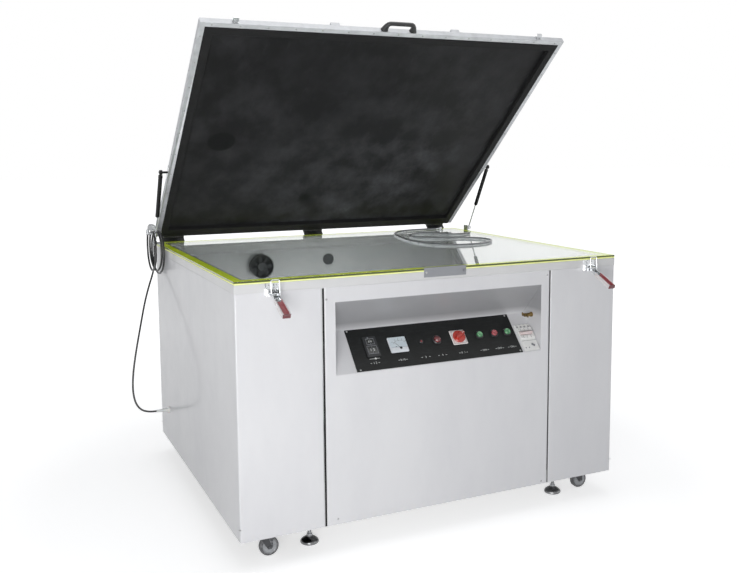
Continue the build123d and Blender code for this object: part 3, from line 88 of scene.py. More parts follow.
def looked_at(tree):
    """1 for the camera, reflections and views through glass, 0 for light that falls on things."""
    path = put(tree, "ShaderNodeLightPath").outputs
    seen = sums(tree, "MAXIMUM", path["Is Camera Ray"], path["Is Glossy Ray"])
    return sums(tree, "MAXIMUM", seen, path["Is Transmission Ray"])


def in_scene(name, data):
    """A new object with this data, linked to the scene."""
    made = bpy.data.objects.new(name, data)
    scene.collection.objects.link(made)
    return made


def spin(degrees, axis):
    return Matrix.Rotation(math.radians(degrees), 4, axis)


surround = bpy.data.worlds.new("surround")
surround.use_nodes = True
scene.world = surround
tree = surround.node_tree
tree.nodes.clear()
soft_sky = put(tree, "ShaderNodeBackground", {"Color": linear(240, 243, 248), "Strength": 0.28})
white_sky = put(tree, "ShaderNodeBackground", {"Color": (1, 1, 1, 1), "Strength": 1.0})
sky = {0: looked_at(tree), 1: soft_sky.outputs[0], 2: white_sky.outputs[0]}
sky_mix = put(tree, "ShaderNodeMixShader", sky)
put(tree, "ShaderNodeOutputWorld", {"Surface": sky_mix.outputs[0]})

floor_reach = 30.0
floor_mesh = bpy.data.meshes.new("floor")
corners = [(-1, -1), (1, -1), (1, 1), (-1, 1)]
floor_mesh.from_pydata([(x * floor_reach, y * floor_reach, 0) for x, y in corners], [], [(0, 1, 2, 3)])
floor = in_scene("floor", floor_mesh)
floor_paint = bpy.data.materials.new("floor_paint")
floor_paint.use_nodes = True
tree = floor_paint.node_tree
tree.nodes.clear()
matt = put(tree, "ShaderNodeBsdfDiffuse", {"Color": (0.8, 0.8, 0.8, 1)})
where = put(tree, "ShaderNodeTexCoord").outputs["Object"]
away = put(tree, "ShaderNodeVectorMath", {0: where}, operation="LENGTH").outputs["Value"]
fade = span(tree, away, 1.1, 3.2, 0.6, 1.0)
lift = put(tree, "ShaderNodeEmission", {"Color": (1, 1, 1, 1), "Strength": fade})
lifted = put(tree, "ShaderNodeAddShader", {0: matt.outputs[0], 1: lift.outputs[0]})
shown = {0: looked_at(tree), 1: matt.outputs[0], 2: lifted.outputs[0]}
floor_mix = put(tree, "ShaderNodeMixShader", shown)
put(tree, "ShaderNodeOutputMaterial", {"Surface": floor_mix.outputs[0]})
floor_mesh.materials.append(floor_paint)


def lamp(name, place, target, width, power):
    """A square soft box that faces a point."""
    light = bpy.data.lights.new(name, "AREA")
    light.size = width
    light.energy = power
    holder = in_scene(name, light)
    holder.location = place
    aim = Vector(target) - Vector(place)
    holder.rotation_euler = aim.to_track_quat("-Z", "Y").to_euler()


lamp("key", (-1.5, -2.85, 0.42), (-0.25, -0.5, 0.2), 1.4, 62)
lamp("fill", (3.4, -1.6, 1.8), (0.2, 0.0, 0.7), 2.2, 5)
lamp("overhead", (0.2, 0.3, 3.9), (0.0, 0.0, 0.8), 2.6, 34)
inner = bpy.data.lights.new("inner", "POINT")
inner.energy = 14
inner.shadow_soft_size = 0.2
inner_lamp = in_scene("inner", inner)
inner_lamp.location = (0.0, 0.0, 0.52)
inner_lamp.visible_glossy = False
inner_lamp.visible_transmission = False

camera_data = bpy.data.cameras.new("camera")
camera = in_scene("camera", camera_data)
scene.camera = camera
photo_width, photo_height = 739, 573
focal_pixels = 896.684
vanishing_centre = (403.138, 250.921)
camera_place = (-1.2693, -2.8908, 1.1984)
yaw, pitch, roll = 25.783, 6.826, -0.228
camera_data.sensor_width = 36.0
camera_data.lens = focal_pixels * camera_data.sensor_width / photo_width
camera_data.shift_x = (photo_width / 2 - vanishing_centre[0]) / photo_width
camera_data.shift_y = (vanishing_centre[1] - photo_height / 2) / photo_width
tilt = spin(90 - pitch, "X") @ spin(roll, "Z")
camera.matrix_world = Matrix.Translation(camera_place) @ spin(-yaw, "Z") @ tilt


# ---- Welded frame ---------------------------------------------------------------------------
# Angle posts, a folded floor tray and a mitred rim, welded and oven-painted as one. Its rim shows
# as the narrow band under the glass; the casters and the levelling feet are fixed to its tray.

finishes = {}
bed_low, bed_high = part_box("glass_plate")
bed_middle = (bed_low + bed_high) / 2
bed_top = bed_high.z * 1000
half_width = (bed_high.x - bed_low.x) * 500
half_depth = (bed_high.y - bed_low.y) * 500


def shift(x, y, z):
    return Matrix.Translation((x, y, z))


def stand(point, turn=None):
    """Carries a shape in millimetres to a point of the frame, turned first if asked."""
    return Matrix.Translation(point) @ (turn or Matrix.Identity(4)) @ Matrix.Scale(0.001, 4)


def seat(x, y, z, turn=None):
    """The same, to a place in millimetres counted from the cabinet's middle and the floor."""
    return stand((bed_middle.x + x / 1000, bed_middle.y + y / 1000, z / 1000), turn)


def at(x, y, z):
    return seat(x, y, z).translation


def new_finish(name, colour, roughness, **fixed):
    """A finish on one Principled shader, with its even values on the shader's own sockets."""
    finish = bpy.data.materials.new(name + "_finish")
    finish.use_nodes = True
    shader = finish.node_tree.nodes["Principled BSDF"]
    shader.inputs["Base Color"].default_value = linear(*colour)
    shader.inputs["Roughness"].default_value = roughness
    for socket, value in fixed.items():
        shader.inputs[socket.replace("_", " ")].default_value = value
    finishes[name] = finish
    return shader, finish.node_tree


def around(tree, stretch=(1, 1, 1), turn=(0, 0, 0)):
    """Object coordinates, turned and then stretched."""
    where = put(tree, "ShaderNodeTexCoord").outputs["Object"]
    inputs = {"Vector": where, "Rotation": turn, "Scale": (1, 1, 1)}
    turned_to = put(tree, "ShaderNodeMapping", inputs).outputs[0]
    return put(tree, "ShaderNodeMapping", {"Vector": turned_to, "Scale": stretch}).outputs[0]


def clouds(tree, where, size, detail=4.0, rough=0.5):
    """Noise with blobs about size metres across."""
    inputs = {"Vector": where, "Scale": 1 / size, "Detail": detail, "Roughness": rough}
    return put(tree, "ShaderNodeTexNoise", inputs).outputs["Fac"]


def cells(tree, where, size):
    """Distance to scattered cell centres about size metres apart."""
    inputs = {"Vector": where, "Scale": 1 / size}
    return put(tree, "ShaderNodeTexVoronoi", inputs).outputs["Distance"]


def tint(tree, factor, first, second):
    """A colour between two, each a socket or screen levels."""
    ends = [c if isinstance(c, bpy.types.NodeSocket) else linear(*c) for c in (first, second)]
    inputs = {0: factor, 6: ends[0], 7: ends[1]}
    return put(tree, "ShaderNodeMix", inputs, data_type="RGBA").outputs[2]


def relief(shader, height, depth, strength=1.0):
    """Adds bumps of the given depth in metres, over any that the finish already has."""
    tree = shader.id_data
    inputs = {"Height": height, "Distance": depth, "Strength": strength}
    if shader.inputs["Normal"].is_linked:
        inputs["Normal"] = shader.inputs["Normal"].links[0].from_socket
    tree.links.new(put(tree, "ShaderNodeBump", inputs).outputs[0], shader.inputs["Normal"])


def drive(shader, **sockets):
    """Links node outputs to the shader's sockets."""
    for name, source in sockets.items():
        shader.id_data.links.new(source, shader.inputs[name.replace("_", " ")])


def powder_coat(name, colour, shade):
    """Oven enamel: orange peel, slow waves in the sheet, faint handling marks."""
    shader, tree = new_finish(name, colour, 0.34, Coat_Weight=0.3, Coat_Roughness=0.1)
    where = around(tree)
    marks = clouds(tree, around(tree, (1, 1, 0.35)), 0.22, 6.0, 0.62)
    smears = clouds(tree, where, 0.05, 5.0, 0.7)
    drive(
        shader,
        Base_Color=tint(tree, span(tree, marks, 0.38, 0.72), colour, shade),
        Roughness=span(tree, smears, 0.3, 0.75, 0.28, 0.42),
    )
    relief(shader, clouds(tree, where, 0.45, 1.0), 0.004, 0.35)
    relief(shader, clouds(tree, where, 0.0024, 2.0), 0.00006, 0.5)
    return shader, tree


def eased(node, width):
    """A copy of a frame node: flat faces merged, sharp edges broken to a width in millimetres."""
    shape = bmesh.new()
    shape.from_mesh(frame["nodes"][node].data)
    bmesh.ops.remove_doubles(shape, verts=shape.verts[:], dist=1e-6)
    flat, sharp = math.radians(0.5), math.radians(30)
    parts = {"verts": shape.verts[:], "edges": shape.edges[:]}
    bmesh.ops.dissolve_limit(shape, angle_limit=flat, **parts)
    edges = [e for e in shape.edges if len(e.link_faces) == 2 and e.calc_face_angle() > sharp]
    if width:
        bmesh.ops.bevel(shape, geom=edges, offset=width / 1000, segments=1, affect="EDGES")
    return shape


def piece(name, shape, finish, body, *nodes, slot=None, smooth=40.0):
    """Makes a named piece with its finish, body and shading smooth up to an angle; slot is not used."""
    mesh = shape
    if isinstance(shape, bmesh.types.BMesh):
        mesh = bpy.data.meshes.new(name)
        shape.to_mesh(mesh)
        shape.free()
    names = finish if isinstance(finish, tuple) else (finish,)
    if not mesh.materials:
        for one in names:
            mesh.materials.append(finishes[one])
    mesh.shade_smooth()
    mesh.set_sharp_from_angle(angle=math.radians(smooth))
    made = in_scene(name, mesh)
    even = made.modifiers.new("even_normals", "WEIGHTED_NORMAL")
    even.keep_sharp = True
    even.weight = 90
    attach(made, body)
    if nodes:
        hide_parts(*nodes)
    return made


def dressed(name, node, width, finish, body="cabinet", slot=None):
    """A piece that is one node of the frame with its sharp edges eased."""
    return piece(name, eased(node, width), finish, body, node, slot=slot)


powder_coat("frame_paint", (214, 214, 214), (206, 206, 207))
dressed("cabinet_frame", "welded_frame", 0.5, "frame_paint")


# ---- Cover panels ---------------------------------------------------------------------------
# Two side sheets wrap round the front and the back, a centre sheet closes the gap between them and
# a flat one closes the rear. Each is 1.5 mm steel, folded, punched and oven-painted pale grey.

powder_coat("panel_paint", (219, 219, 221), (211, 211, 214))
for name, node in (
    ("left_cover", "left_side_panel"),
    ("right_cover", "right_side_panel"),
    ("centre_cover", "centre_front_panel"),
    ("rear_cover", "back_panel"),
):
    dressed(name, node, 0.35, "panel_paint")


# ---- Cover screws ---------------------------------------------------------------------------
# Domed cross-recess screws hold the covers, 6.5 mm across the head. Like most of the small screws
# on the table they are zinc-plated steel.


def mottled(
    name, colour, roughness, dark, light, noise,
    reach=None, sheen=None, bumps=None, stretch=(1, 1, 1), **fixed,
):
    """A finish between two colours, by noise of a size, detail and roughness.

    Reach is the band of the noise that turns the colour, sheen a band and the roughness it gives,
    and bumps the depth and strength of a relief and its noise.
    """
    shader, tree = new_finish(name, colour, roughness, **fixed)
    patches = clouds(tree, around(tree, stretch), *noise)
    blend = span(tree, patches, *reach) if reach else patches
    drive(shader, Base_Color=tint(tree, blend, dark, light))
    if sheen:
        drive(shader, Roughness=span(tree, patches, *sheen))
    if bumps:
        depth, strength, *grain = bumps
        relief(shader, clouds(tree, around(tree, stretch), *grain), depth, strength)
    return shader, tree


mottled(
    "screw_steel", (168, 170, 172), 0.32, (150, 150, 148), (186, 188, 190), (0.0016, 3.0),
    sheen=(0.3, 0.7, 0.24, 0.42), Metallic=1.0,
)


def new_tree(name, **kinds):
    """A geometry tree with named inputs; returns it with its input and output nodes."""
    tree = bpy.data.node_groups.new(name, "GeometryNodeTree")
    for title, kind in {"Geometry": "Geometry", **kinds, "Finish": "Material"}.items():
        title, kind = title.replace("_", " "), "NodeSocket" + kind
        tree.interface.new_socket(title, in_out="INPUT", socket_type=kind)
    tree.interface.new_socket("Geometry", in_out="OUTPUT", socket_type="NodeSocketGeometry")
    return tree, put(tree, "NodeGroupInput").outputs, put(tree, "NodeGroupOutput")


def close_tree(tree, entry, leaving, geometry):
    """Ends a tree in Realize Instances and Set Material."""
    real = put(tree, "GeometryNodeRealizeInstances", {0: geometry}).outputs[0]
    done = put(tree, "GeometryNodeSetMaterial", {0: real, "Material": entry["Finish"]}).outputs[0]
    tree.links.new(done, leaving.inputs[0])
    return tree


def frozen(holder):
    """The plain mesh that an object comes to; the object itself is removed."""
    graph = bpy.context.evaluated_depsgraph_get()
    mesh = bpy.data.meshes.new_from_object(holder.evaluated_get(graph))
    bpy.data.objects.remove(holder)
    return mesh


def grown(tree, name, finish, seeds=((0, 0, 0),), facings=(), **sizes):
    """Runs a tree on seed points and returns the result as a plain mesh."""
    mesh = bpy.data.meshes.new(name)
    mesh.from_pydata([tuple(p) for p in seeds], [], [])
    if facings:
        layer = mesh.attributes.new("facing", "FLOAT_VECTOR", "POINT")
        for value, direction in zip(layer.data, facings):
            value.vector = direction
    holder = in_scene(name, mesh)
    modifier = holder.modifiers.new("grow", "NODES")
    modifier.node_group = tree
    sizes["Finish"] = finishes[finish]
    for item in tree.interface.items_tree:
        title = item.name.replace(" ", "_")
        if item.in_out == "INPUT" and title in sizes:
            modifier[item.identifier] = sizes[title]
    result = frozen(holder)
    bpy.data.meshes.remove(mesh)
    result.name = name
    return result


def xyz(tree, x=0.0, y=0.0, z=0.0):
    return put(tree, "ShaderNodeCombineXYZ", {0: x, 1: y, 2: z}).outputs[0]


def block(tree, size, middle):
    """A box of a size about its middle."""
    cube = put(tree, "GeometryNodeMeshCube", {"Size": size}).outputs["Mesh"]
    inputs = {"Geometry": cube, "Translation": middle}
    return put(tree, "GeometryNodeTransform", inputs).outputs[0]


def strewn(tree, points, instance, **more):
    """One instance on each point."""
    inputs = {"Points": points, "Instance": instance, **more}
    return put(tree, "GeometryNodeInstanceOnPoints", inputs).outputs[0]


def screw_tree():
    """Domed heads with a cross recess, one on each point and square to its facing."""
    tree, entry, leaving = new_tree("screws", Head_Radius="Float", Head_Height="Float")
    radius, height = entry["Head Radius"], entry["Head Height"]
    ball = {"Segments": 20, "Rings": 12, "Radius": 1.0}
    ball = put(tree, "GeometryNodeMeshUVSphere", ball).outputs["Mesh"]
    squashed = {"Geometry": ball, "Scale": xyz(tree, radius, radius, height)}
    dome = put(tree, "GeometryNodeTransform", squashed).outputs[0]
    wide = sums(tree, "MULTIPLY", radius, 4.0)
    below = sums(tree, "MULTIPLY", wide, -0.5)
    cut_away = [block(tree, xyz(tree, wide, wide, wide), xyz(tree, z=below))]
    long = sums(tree, "MULTIPLY", radius, 1.1)
    thin = sums(tree, "MULTIPLY", radius, 0.24)
    for first, second in ((long, thin), (thin, long)):
        cut_away.append(block(tree, xyz(tree, first, second, height), xyz(tree, z=height)))
    inputs = {"Mesh 1": dome, "Mesh 2": cut_away}
    head = put(tree, "GeometryNodeMeshBoolean", inputs, operation="DIFFERENCE").outputs["Mesh"]
    facing = put(tree, "GeometryNodeInputNamedAttribute", {"Name": "facing"}, data_type="FLOAT_VECTOR")
    turn = {"Vector": facing.outputs["Attribute"]}
    turn = put(tree, "FunctionNodeAlignRotationToVector", turn, axis="Z").outputs[0]
    return close_tree(tree, entry, leaving, strewn(tree, entry["Geometry"], head, Rotation=turn))


screws = screw_tree()


def screw_set(name, places, facings, diameter, body, finish="screw_steel"):
    """One piece of like screws at points in the frame, all facing one way or each its own."""
    if not isinstance(facings, list):
        facings = [facings] * len(places)
    sizes = {"Head_Radius": diameter / 2000, "Head_Height": diameter * 0.3 / 1000}
    mesh = grown(screws, name, finish, places, facings, **sizes)
    piece(name, mesh, finish, body, slot="steel", smooth=32.0)


front, back = (0, -1, 0), (0, 1, 0)
front_y, rear_y = -half_depth, half_depth
places = [at(x, front_y, z) for x, z in ((-381, 756), (-354, 95), (367, 88), (380, 776))]
rear_places = [at(x, rear_y, z) for x in (-590, -300, 0, 300, 590) for z in (100, 765)]
facings = [front] * len(places) + [back] * len(rear_places)
screw_set("cover_screws", places + rear_places, facings, 6.5, "cabinet")


# ---- Control recess -------------------------------------------------------------------------
# A folded pocket welded behind the mouth in the centre cover: an upper wall that leans in, a
# sloped shelf for the controls and two cheeks, painted like the covers. The upper wall is painted
# darker towards the top as painted shade under the mouth.

shader, tree = powder_coat("recess_paint", (214, 214, 216), (206, 206, 209))
# Painted shade: above the shelf the colour darkens with height towards a dark grey.
height = put(tree, "ShaderNodeSeparateXYZ", {0: around(tree)}).outputs["Z"]
shade_low, shade_high, shade_depth = 0.640, 0.665, 0.62
shade = span(tree, height, shade_low, shade_high, 0.0, shade_depth)
paint = shader.inputs["Base Color"].links[0].from_socket
drive(shader, Base_Color=tint(tree, shade, paint, (112, 113, 116)))
dressed("recess_pocket", "control_recess", 0.35, "recess_paint")


# ---- Gasket and glass bed -------------------------------------------------------------------
# The bed is a sheet of 6 mm plate glass with ground edges, laid on a flat strip of yellow-green
# silicone rubber that goes all round the rim and shows through the glass. The rubber is given a
# painted glow by emission, and its upright faces a paler painted highlight.

# Painted glow: the rubber emits light although it is no lamp.
shader, tree = new_finish(
    "gasket_rubber", (206, 216, 60), 0.5, Specular_IOR_Level=0.3, Emission_Strength=0.34
)
where = around(tree)
normal = put(tree, "ShaderNodeNewGeometry").outputs["True Normal"]
leaning = put(tree, "ShaderNodeSeparateXYZ", {0: normal}).outputs["Z"]
flat = span(tree, sums(tree, "ABSOLUTE", leaning, 0.0), 0.2, 0.6)
patches = span(tree, clouds(tree, where, 0.09, 5.0), 0.3, 0.7)
green = tint(tree, patches, (196, 208, 52), (216, 222, 84))
# Painted highlight on upright faces; this colour also drives the emission, a painted glow.
rubber_with_painted_glow = tint(tree, flat, (226, 229, 176), green)
roughness = span(tree, clouds(tree, where, 0.01), 0.3, 0.7, 0.42, 0.62)
drive(shader, Base_Color=rubber_with_painted_glow, Roughness=roughness, Emission_Color=rubber_with_painted_glow)
relief(shader, clouds(tree, where, 0.0014, 3.0), 0.0001, 0.4)
dressed("bed_gasket", "edge_gasket", 0.8, "gasket_rubber")

shader, tree = new_finish("clear_glass", (243, 249, 245), 0.0, Transmission_Weight=1.0, IOR=1.5)
smear = clouds(tree, around(tree, (1, 0.3, 1)), 0.12, 5.0, 0.65)
drive(shader, Roughness=span(tree, smear, 0.52, 0.8, 0.0, 0.06))
passing = put(tree, "ShaderNodeBsdfTransparent", {"Color": (0.93, 0.96, 0.94, 1)})
shadow = put(tree, "ShaderNodeLightPath").outputs["Is Shadow Ray"]
mix = put(tree, "ShaderNodeMixShader", {0: shadow, 1: shader.outputs[0], 2: passing.outputs[0]})
output = next(n for n in tree.nodes if n.type == "OUTPUT_MATERIAL")
tree.links.new(mix.outputs[0], output.inputs["Surface"])

mottled(
    "glass_edge", (46, 54, 16), 0.28, (34, 42, 12), (74, 84, 30), (0.004, 4.0),
    bumps=(0.0001, 0.4, 0.004, 4.0), stretch=(0.2, 0.2, 3), Coat_Weight=0.5, Coat_Roughness=0.12,
)

shape = eased("glass_plate", 0.7)
upright_face = 0.5
for face in shape.faces:
    face.material_index = 1 if abs(face.normal.z) < upright_face else 0
piece("glass_bed", shape, ("clear_glass", "glass_edge"), "cabinet", "glass_plate")


# ---- Guard on the front edge ----------------------------------------------------------------
# A small folded plate over the edge of the glass, where a copying frame is pushed against it; it
# is bright-zinc steel with a rivet at its left end and a pin with an eye at its right end.


def cuboid(x, y, z, ease=0.0, segments=2):
    """A box between pairs of coordinates in millimetres, its edges rounded."""
    shape = bmesh.new()
    bmesh.ops.create_cube(shape, size=1.0)
    size = Matrix.Diagonal((x[1] - x[0], y[1] - y[0], z[1] - z[0], 1))
    middle = Matrix.Translation(((x[0] + x[1]) / 2, (y[0] + y[1]) / 2, (z[0] + z[1]) / 2))
    bmesh.ops.transform(shape, matrix=middle @ size, verts=shape.verts[:])
    if ease:
        bmesh.ops.bevel(shape, geom=shape.edges[:], offset=ease, segments=segments, affect="EDGES")
    return shape


def turned(profile, steps=40, loop=False):
    """A shape turned about Z from (radius, height) points; a ring where the profile is a loop."""
    shape = bmesh.new()
    rows = []
    for radius, height in profile:
        count = steps if radius > 0 else 1
        angles = [2 * math.pi * i / steps for i in range(count)]
        row = [(radius * math.cos(a), radius * math.sin(a), height) for a in angles]
        rows.append([shape.verts.new(point) for point in row])
    pairs = list(zip(rows, rows[1:])) + ([(rows[-1], rows[0])] if loop else [])
    for below, above in pairs:
        for i in range(steps):
            j = (i + 1) % steps
            corners = [below[i % len(below)], below[j % len(below)]]
            corners += [above[j % len(above)], above[i % len(above)]]
            unique = list(dict.fromkeys(corners))
            if len(unique) > 2:
                shape.faces.new(unique)
    if not loop:
        for row in (rows[0], rows[-1]):
            if len(row) > 1:
                shape.faces.new(row)
    bmesh.ops.recalc_face_normals(shape, faces=shape.faces[:])
    return shape


def placed(shape, matrix, index=0):
    """Moves a shape into place and gives its faces one of the piece's finishes."""
    bmesh.ops.transform(shape, matrix=matrix, verts=shape.verts[:])
    if index:
        for face in shape.faces:
            face.material_index = index
    return shape


def joined(*shapes):
    """Several shapes in one mesh."""
    whole = bmesh.new()
    for shape in shapes:
        mesh = bpy.data.meshes.new("part")
        shape.to_mesh(mesh)
        shape.free()
        whole.from_mesh(mesh)
        bpy.data.meshes.remove(mesh)
    return whole


mottled(
    "galvanised", (150, 152, 154), 0.4, (126, 128, 132), (142, 144, 148), (0.012, 4.0, 0.6),
    sheen=(0.3, 0.7, 0.4, 0.55), Metallic=1.0,
)
dressed("edge_guard", "front_edge_plate", 0.3, "galvanised", slot="steel")
guard_low, guard_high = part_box("front_edge_plate")
rivet_inset, eye_out = 0.008, 0.0045
rivet = (guard_low.x + rivet_inset, guard_low.y + eye_out, (guard_low.z + guard_high.z) / 2)
screw_set("guard_rivet", [rivet], front, 7.0, "cabinet")


# ---- Lamp and reflector ---------------------------------------------------------------------
# Under the glass a square bowl of hammered aluminium stands on the tray, and a metal-halide lamp
# lies across it between two posts: a quartz tube, ceramic ends and the burner inside.

shader, tree = new_finish("reflector_metal", (214, 216, 218), 0.2, Metallic=1.0)
relief(shader, cells(tree, around(tree), 0.011), 0.0016, 0.7)
drive(shader, Roughness=span(tree, clouds(tree, around(tree), 0.05), 0.3, 0.7, 0.16, 0.32))
dressed("lamp_bowl", "lamp_reflector", 0.3, "reflector_metal")

shader, tree = new_finish("lamp_quartz", (246, 248, 250), 0.02, Transmission_Weight=1.0, IOR=1.46)
drive(shader, Roughness=span(tree, clouds(tree, around(tree), 0.02), 0.4, 0.8, 0.01, 0.12))
mottled(
    "lamp_ceramic", (232, 229, 220), 0.5, (236, 233, 225), (190, 184, 170), (0.0025, 5.0),
    reach=(0.55, 0.75), bumps=(0.0001, 0.3, 0.0025, 5.0),
)


def middle_of(node):
    """The middle of a node's box in the frame."""
    low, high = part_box(node)
    return (low + high) / 2


def mirrored(half):
    """A profile and its mirror image across the middle of the turned part."""
    return half + [(radius, -height) for radius, height in half[::-1]]


lamp_low, lamp_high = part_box("exposure_lamp")
lamp_half = (lamp_high.x - lamp_low.x) * 500
lengthwise = stand(middle_of("exposure_lamp"), spin(90, "Y"))
neck = lamp_half - 30
tube = mirrored([(0, -neck), (6, -neck), (10, 6 - neck), (11, 14 - neck)])
burner = [(0, -34), (3.5, -33), (6.5, -26), (7.5, 0), (6.5, 26), (3.5, 33), (0, 34)]
lead_in = [(1.2, -neck), (1.2, neck)]
cap = [(0, neck - 2), (12, neck - 2), (14, neck), (14, lamp_half - 6)]
cap += [(11, lamp_half - 4), (11, lamp_half), (0, lamp_half)]
shape = joined(
    placed(turned(tube), lengthwise),
    placed(turned(burner), lengthwise, 2),
    placed(turned(lead_in, 12), lengthwise, 2),
    *[placed(turned(cap), lengthwise @ spin(turn, "Y"), 1) for turn in (180, 0)],
)
piece("halide_lamp", shape, ("lamp_quartz", "lamp_ceramic", "screw_steel"), "cabinet", "exposure_lamp")


# ---- Ballast --------------------------------------------------------------------------------
# The choke that feeds the lamp: a stack of varnished steel laminations clamped on a foot, with
# its enamelled copper winding standing out at both ends.

shader, tree = new_finish("winding", (142, 74, 34), 0.3, Coat_Weight=0.5, Coat_Roughness=0.2)
bands = {"Vector": around(tree), "Scale": 220.0, "Distortion": 0.6}
turns = put(tree, "ShaderNodeTexWave", bands, bands_direction="Z").outputs["Fac"]
drive(shader, Base_Color=tint(tree, turns, (96, 44, 20), (176, 100, 52)))
relief(shader, turns, 0.0004, 0.8)
mottled(
    "lamination_steel", (58, 60, 62), 0.42, (52, 54, 57), (92, 78, 66), (0.012, 5.0, 0.65),
    reach=(0.5, 0.75), Metallic=0.6,
)


def plate_tree():
    """Like plates in a row along X."""
    tree, entry, leaving = new_tree("plates", Count="Int", Pitch="Float", Size="Vector")
    row = {"Count": entry["Count"], "Offset": xyz(tree, entry["Pitch"])}
    row = put(tree, "GeometryNodeMeshLine", row).outputs[0]
    plate = put(tree, "GeometryNodeMeshCube", {"Size": entry["Size"]}).outputs["Mesh"]
    return close_tree(tree, entry, leaving, strewn(tree, row, plate))


plates = plate_tree()


def from_mesh(mesh, matrix, index=0):
    """A grown mesh as a shape, moved into place."""
    shape = bmesh.new()
    shape.from_mesh(mesh)
    bpy.data.meshes.remove(mesh)
    placed(shape, matrix)
    for face in shape.faces:
        face.material_index = index
    return shape


def foot_of(node):
    """The middle of the underside of a node's box."""
    middle = middle_of(node)
    return (middle.x, middle.y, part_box(node)[0].z)


choke_low, choke_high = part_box("ballast")
choke = stand(foot_of("ballast"))
choke_width, choke_depth, choke_height = (choke_high - choke_low) * 1000
plate_count = 52
core = choke_width * 0.72
pitch_x = core / plate_count
sheet = (pitch_x * 0.72, choke_depth, choke_height - 6)
stack = grown(plates, "laminations", "lamination_steel", Count=plate_count, Pitch=pitch_x, Size=sheet)
start = shift((pitch_x - core) / 2, 0, (choke_height + 6) / 2)
across_x, winding_y = (-choke_width / 2, choke_width / 2), choke_depth * 0.3
inner_y = choke_depth / 2 - 4
shape = joined(
    from_mesh(stack, choke @ start, 1),
    placed(cuboid((-core / 2, core / 2), (-inner_y, inner_y), (10, choke_height - 4)), choke, 1),
    placed(cuboid(across_x, (-winding_y, winding_y), (26, choke_height - 20), 9.0, 4), choke),
    placed(cuboid(across_x, (-20, 20), (0, 5.5), 1.0), choke, 1),
)
piece("lamp_choke", shape, ("winding", "lamination_steel"), "cabinet", "ballast")


# ---- Vacuum pump ----------------------------------------------------------------------------
# An oil-free piston pump: a finned motor barrel, a cast head with an outlet filter and a foot
# plate bolted to the tray; cast aluminium in grey-green enamel.

mottled(
    "pump_casting", (96, 112, 108), 0.45, (84, 100, 97), (112, 127, 122), (0.06, 4.0),
    bumps=(0.0006, 0.5, 0.003, 4.0, 0.6), Coat_Weight=0.2,
)


def ring_tree():
    """Round rings stacked along Z, their radius passing evenly from the first to the last."""
    radii = {"First_Radius": "Float", "Last_Radius": "Float", "Wire_Radius": "Float"}
    tree, entry, leaving = new_tree("rings", Count="Int", Steps="Int", Pitch="Float", **radii)
    row = {"Count": entry["Count"], "Offset": xyz(tree, z=entry["Pitch"])}
    row = put(tree, "GeometryNodeMeshLine", row).outputs[0]
    index = put(tree, "GeometryNodeInputIndex").outputs[0]
    last = sums(tree, "MAXIMUM", sums(tree, "SUBTRACT", entry["Count"], 1.0), 1.0)
    radius = span(tree, index, 0.0, last, entry["First Radius"], entry["Last Radius"])
    circle = {"Resolution": entry["Steps"], "Radius": 1.0}
    circle = put(tree, "GeometryNodeCurvePrimitiveCircle", circle).outputs[0]
    rings = strewn(tree, row, circle, Scale=xyz(tree, radius, radius, 1.0))
    rings = put(tree, "GeometryNodeRealizeInstances", {0: rings}).outputs[0]
    wire = {"Resolution": 8, "Radius": entry["Wire Radius"]}
    wire = put(tree, "GeometryNodeCurvePrimitiveCircle", wire).outputs[0]
    inputs = {"Curve": rings, "Profile Curve": wire}
    rings = put(tree, "GeometryNodeCurveToMesh", inputs).outputs[0]
    return close_tree(tree, entry, leaving, rings)


rings = ring_tree()


def ring_set(finish, count, first, last, pitch, wire, steps=40):
    """Rings as a mesh, in millimetres about Z."""
    sizes = {"First_Radius": first, "Last_Radius": last, "Pitch": pitch, "Wire_Radius": wire}
    return grown(rings, "rings", finish, Count=count, Steps=steps, **sizes)


pump_low, pump_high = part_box("vacuum_pump")
barrel_half, axis_z = 100.0, 66.0
pump = stand((middle_of("vacuum_pump").x, pump_high.y - barrel_half / 1000, pump_low.z))
along_y = pump @ shift(0, 0, axis_z) @ spin(90, "X")
barrel = [(0, -barrel_half), (40, -barrel_half), (50, 8 - barrel_half), (52, 16 - barrel_half)]
barrel += [(52, barrel_half - 20), (56, barrel_half - 14), (56, barrel_half), (0, barrel_half)]
fins = ring_set("pump_casting", 12, 54, 54, 11.5, 3.4, 48)
outlet = [(0, 58), (14, 58), (14, 70), (8, 72), (8, 84), (0, 84)]
shape = joined(
    placed(turned(barrel, 48), along_y),
    from_mesh(fins, along_y @ shift(0, 0, 24 - barrel_half)),
    placed(cuboid((-50, 50), (-150, -100), (axis_z - 50, axis_z + 60), 8.0, 3), pump),
    placed(cuboid((-55, 55), (-90, 90), (0, 8), 1.5), pump),
    placed(cuboid((-30, 30), (-60, 60), (7, 24), 2.0), pump),
    placed(turned(outlet), pump @ shift(0, -125, axis_z), 1),
)
piece("pump", shape, ("pump_casting", "screw_steel"), "cabinet", "vacuum_pump")
bolts = [pump @ Vector((x, y, 8)) for x in (-44, 44) for y in (-76, 76)]
screw_set("pump_bolts", bolts, (0, 0, 1), 10.0, "cabinet")


# ---- Cooling fan ----------------------------------------------------------------------------
# A round axial fan screwed inside the rear cover, glass-filled black nylon, with a dark disc behind
# it as painted shade and a wire guard of welded rings over its mouth. Beside it a nylon grommet
# plugs a cable hole.

mottled(
    "fan_plastic", (74, 76, 78), 0.5, (66, 68, 70), (96, 98, 101), (0.004, 4.0),
    bumps=(0.00008, 0.5, 0.0008, 2.0), Specular_IOR_Level=0.4,
)
dressed("fan_body", "fan_housing", 0.8, "fan_plastic")
dressed("fan_blades", "fan_rotor", 0.4, "fan_plastic", "fan")


def disc(radius, low, high, steps=40):
    """A round plate or post about Z."""
    return turned([(0, low), (radius, low), (radius, high), (0, high)], steps)


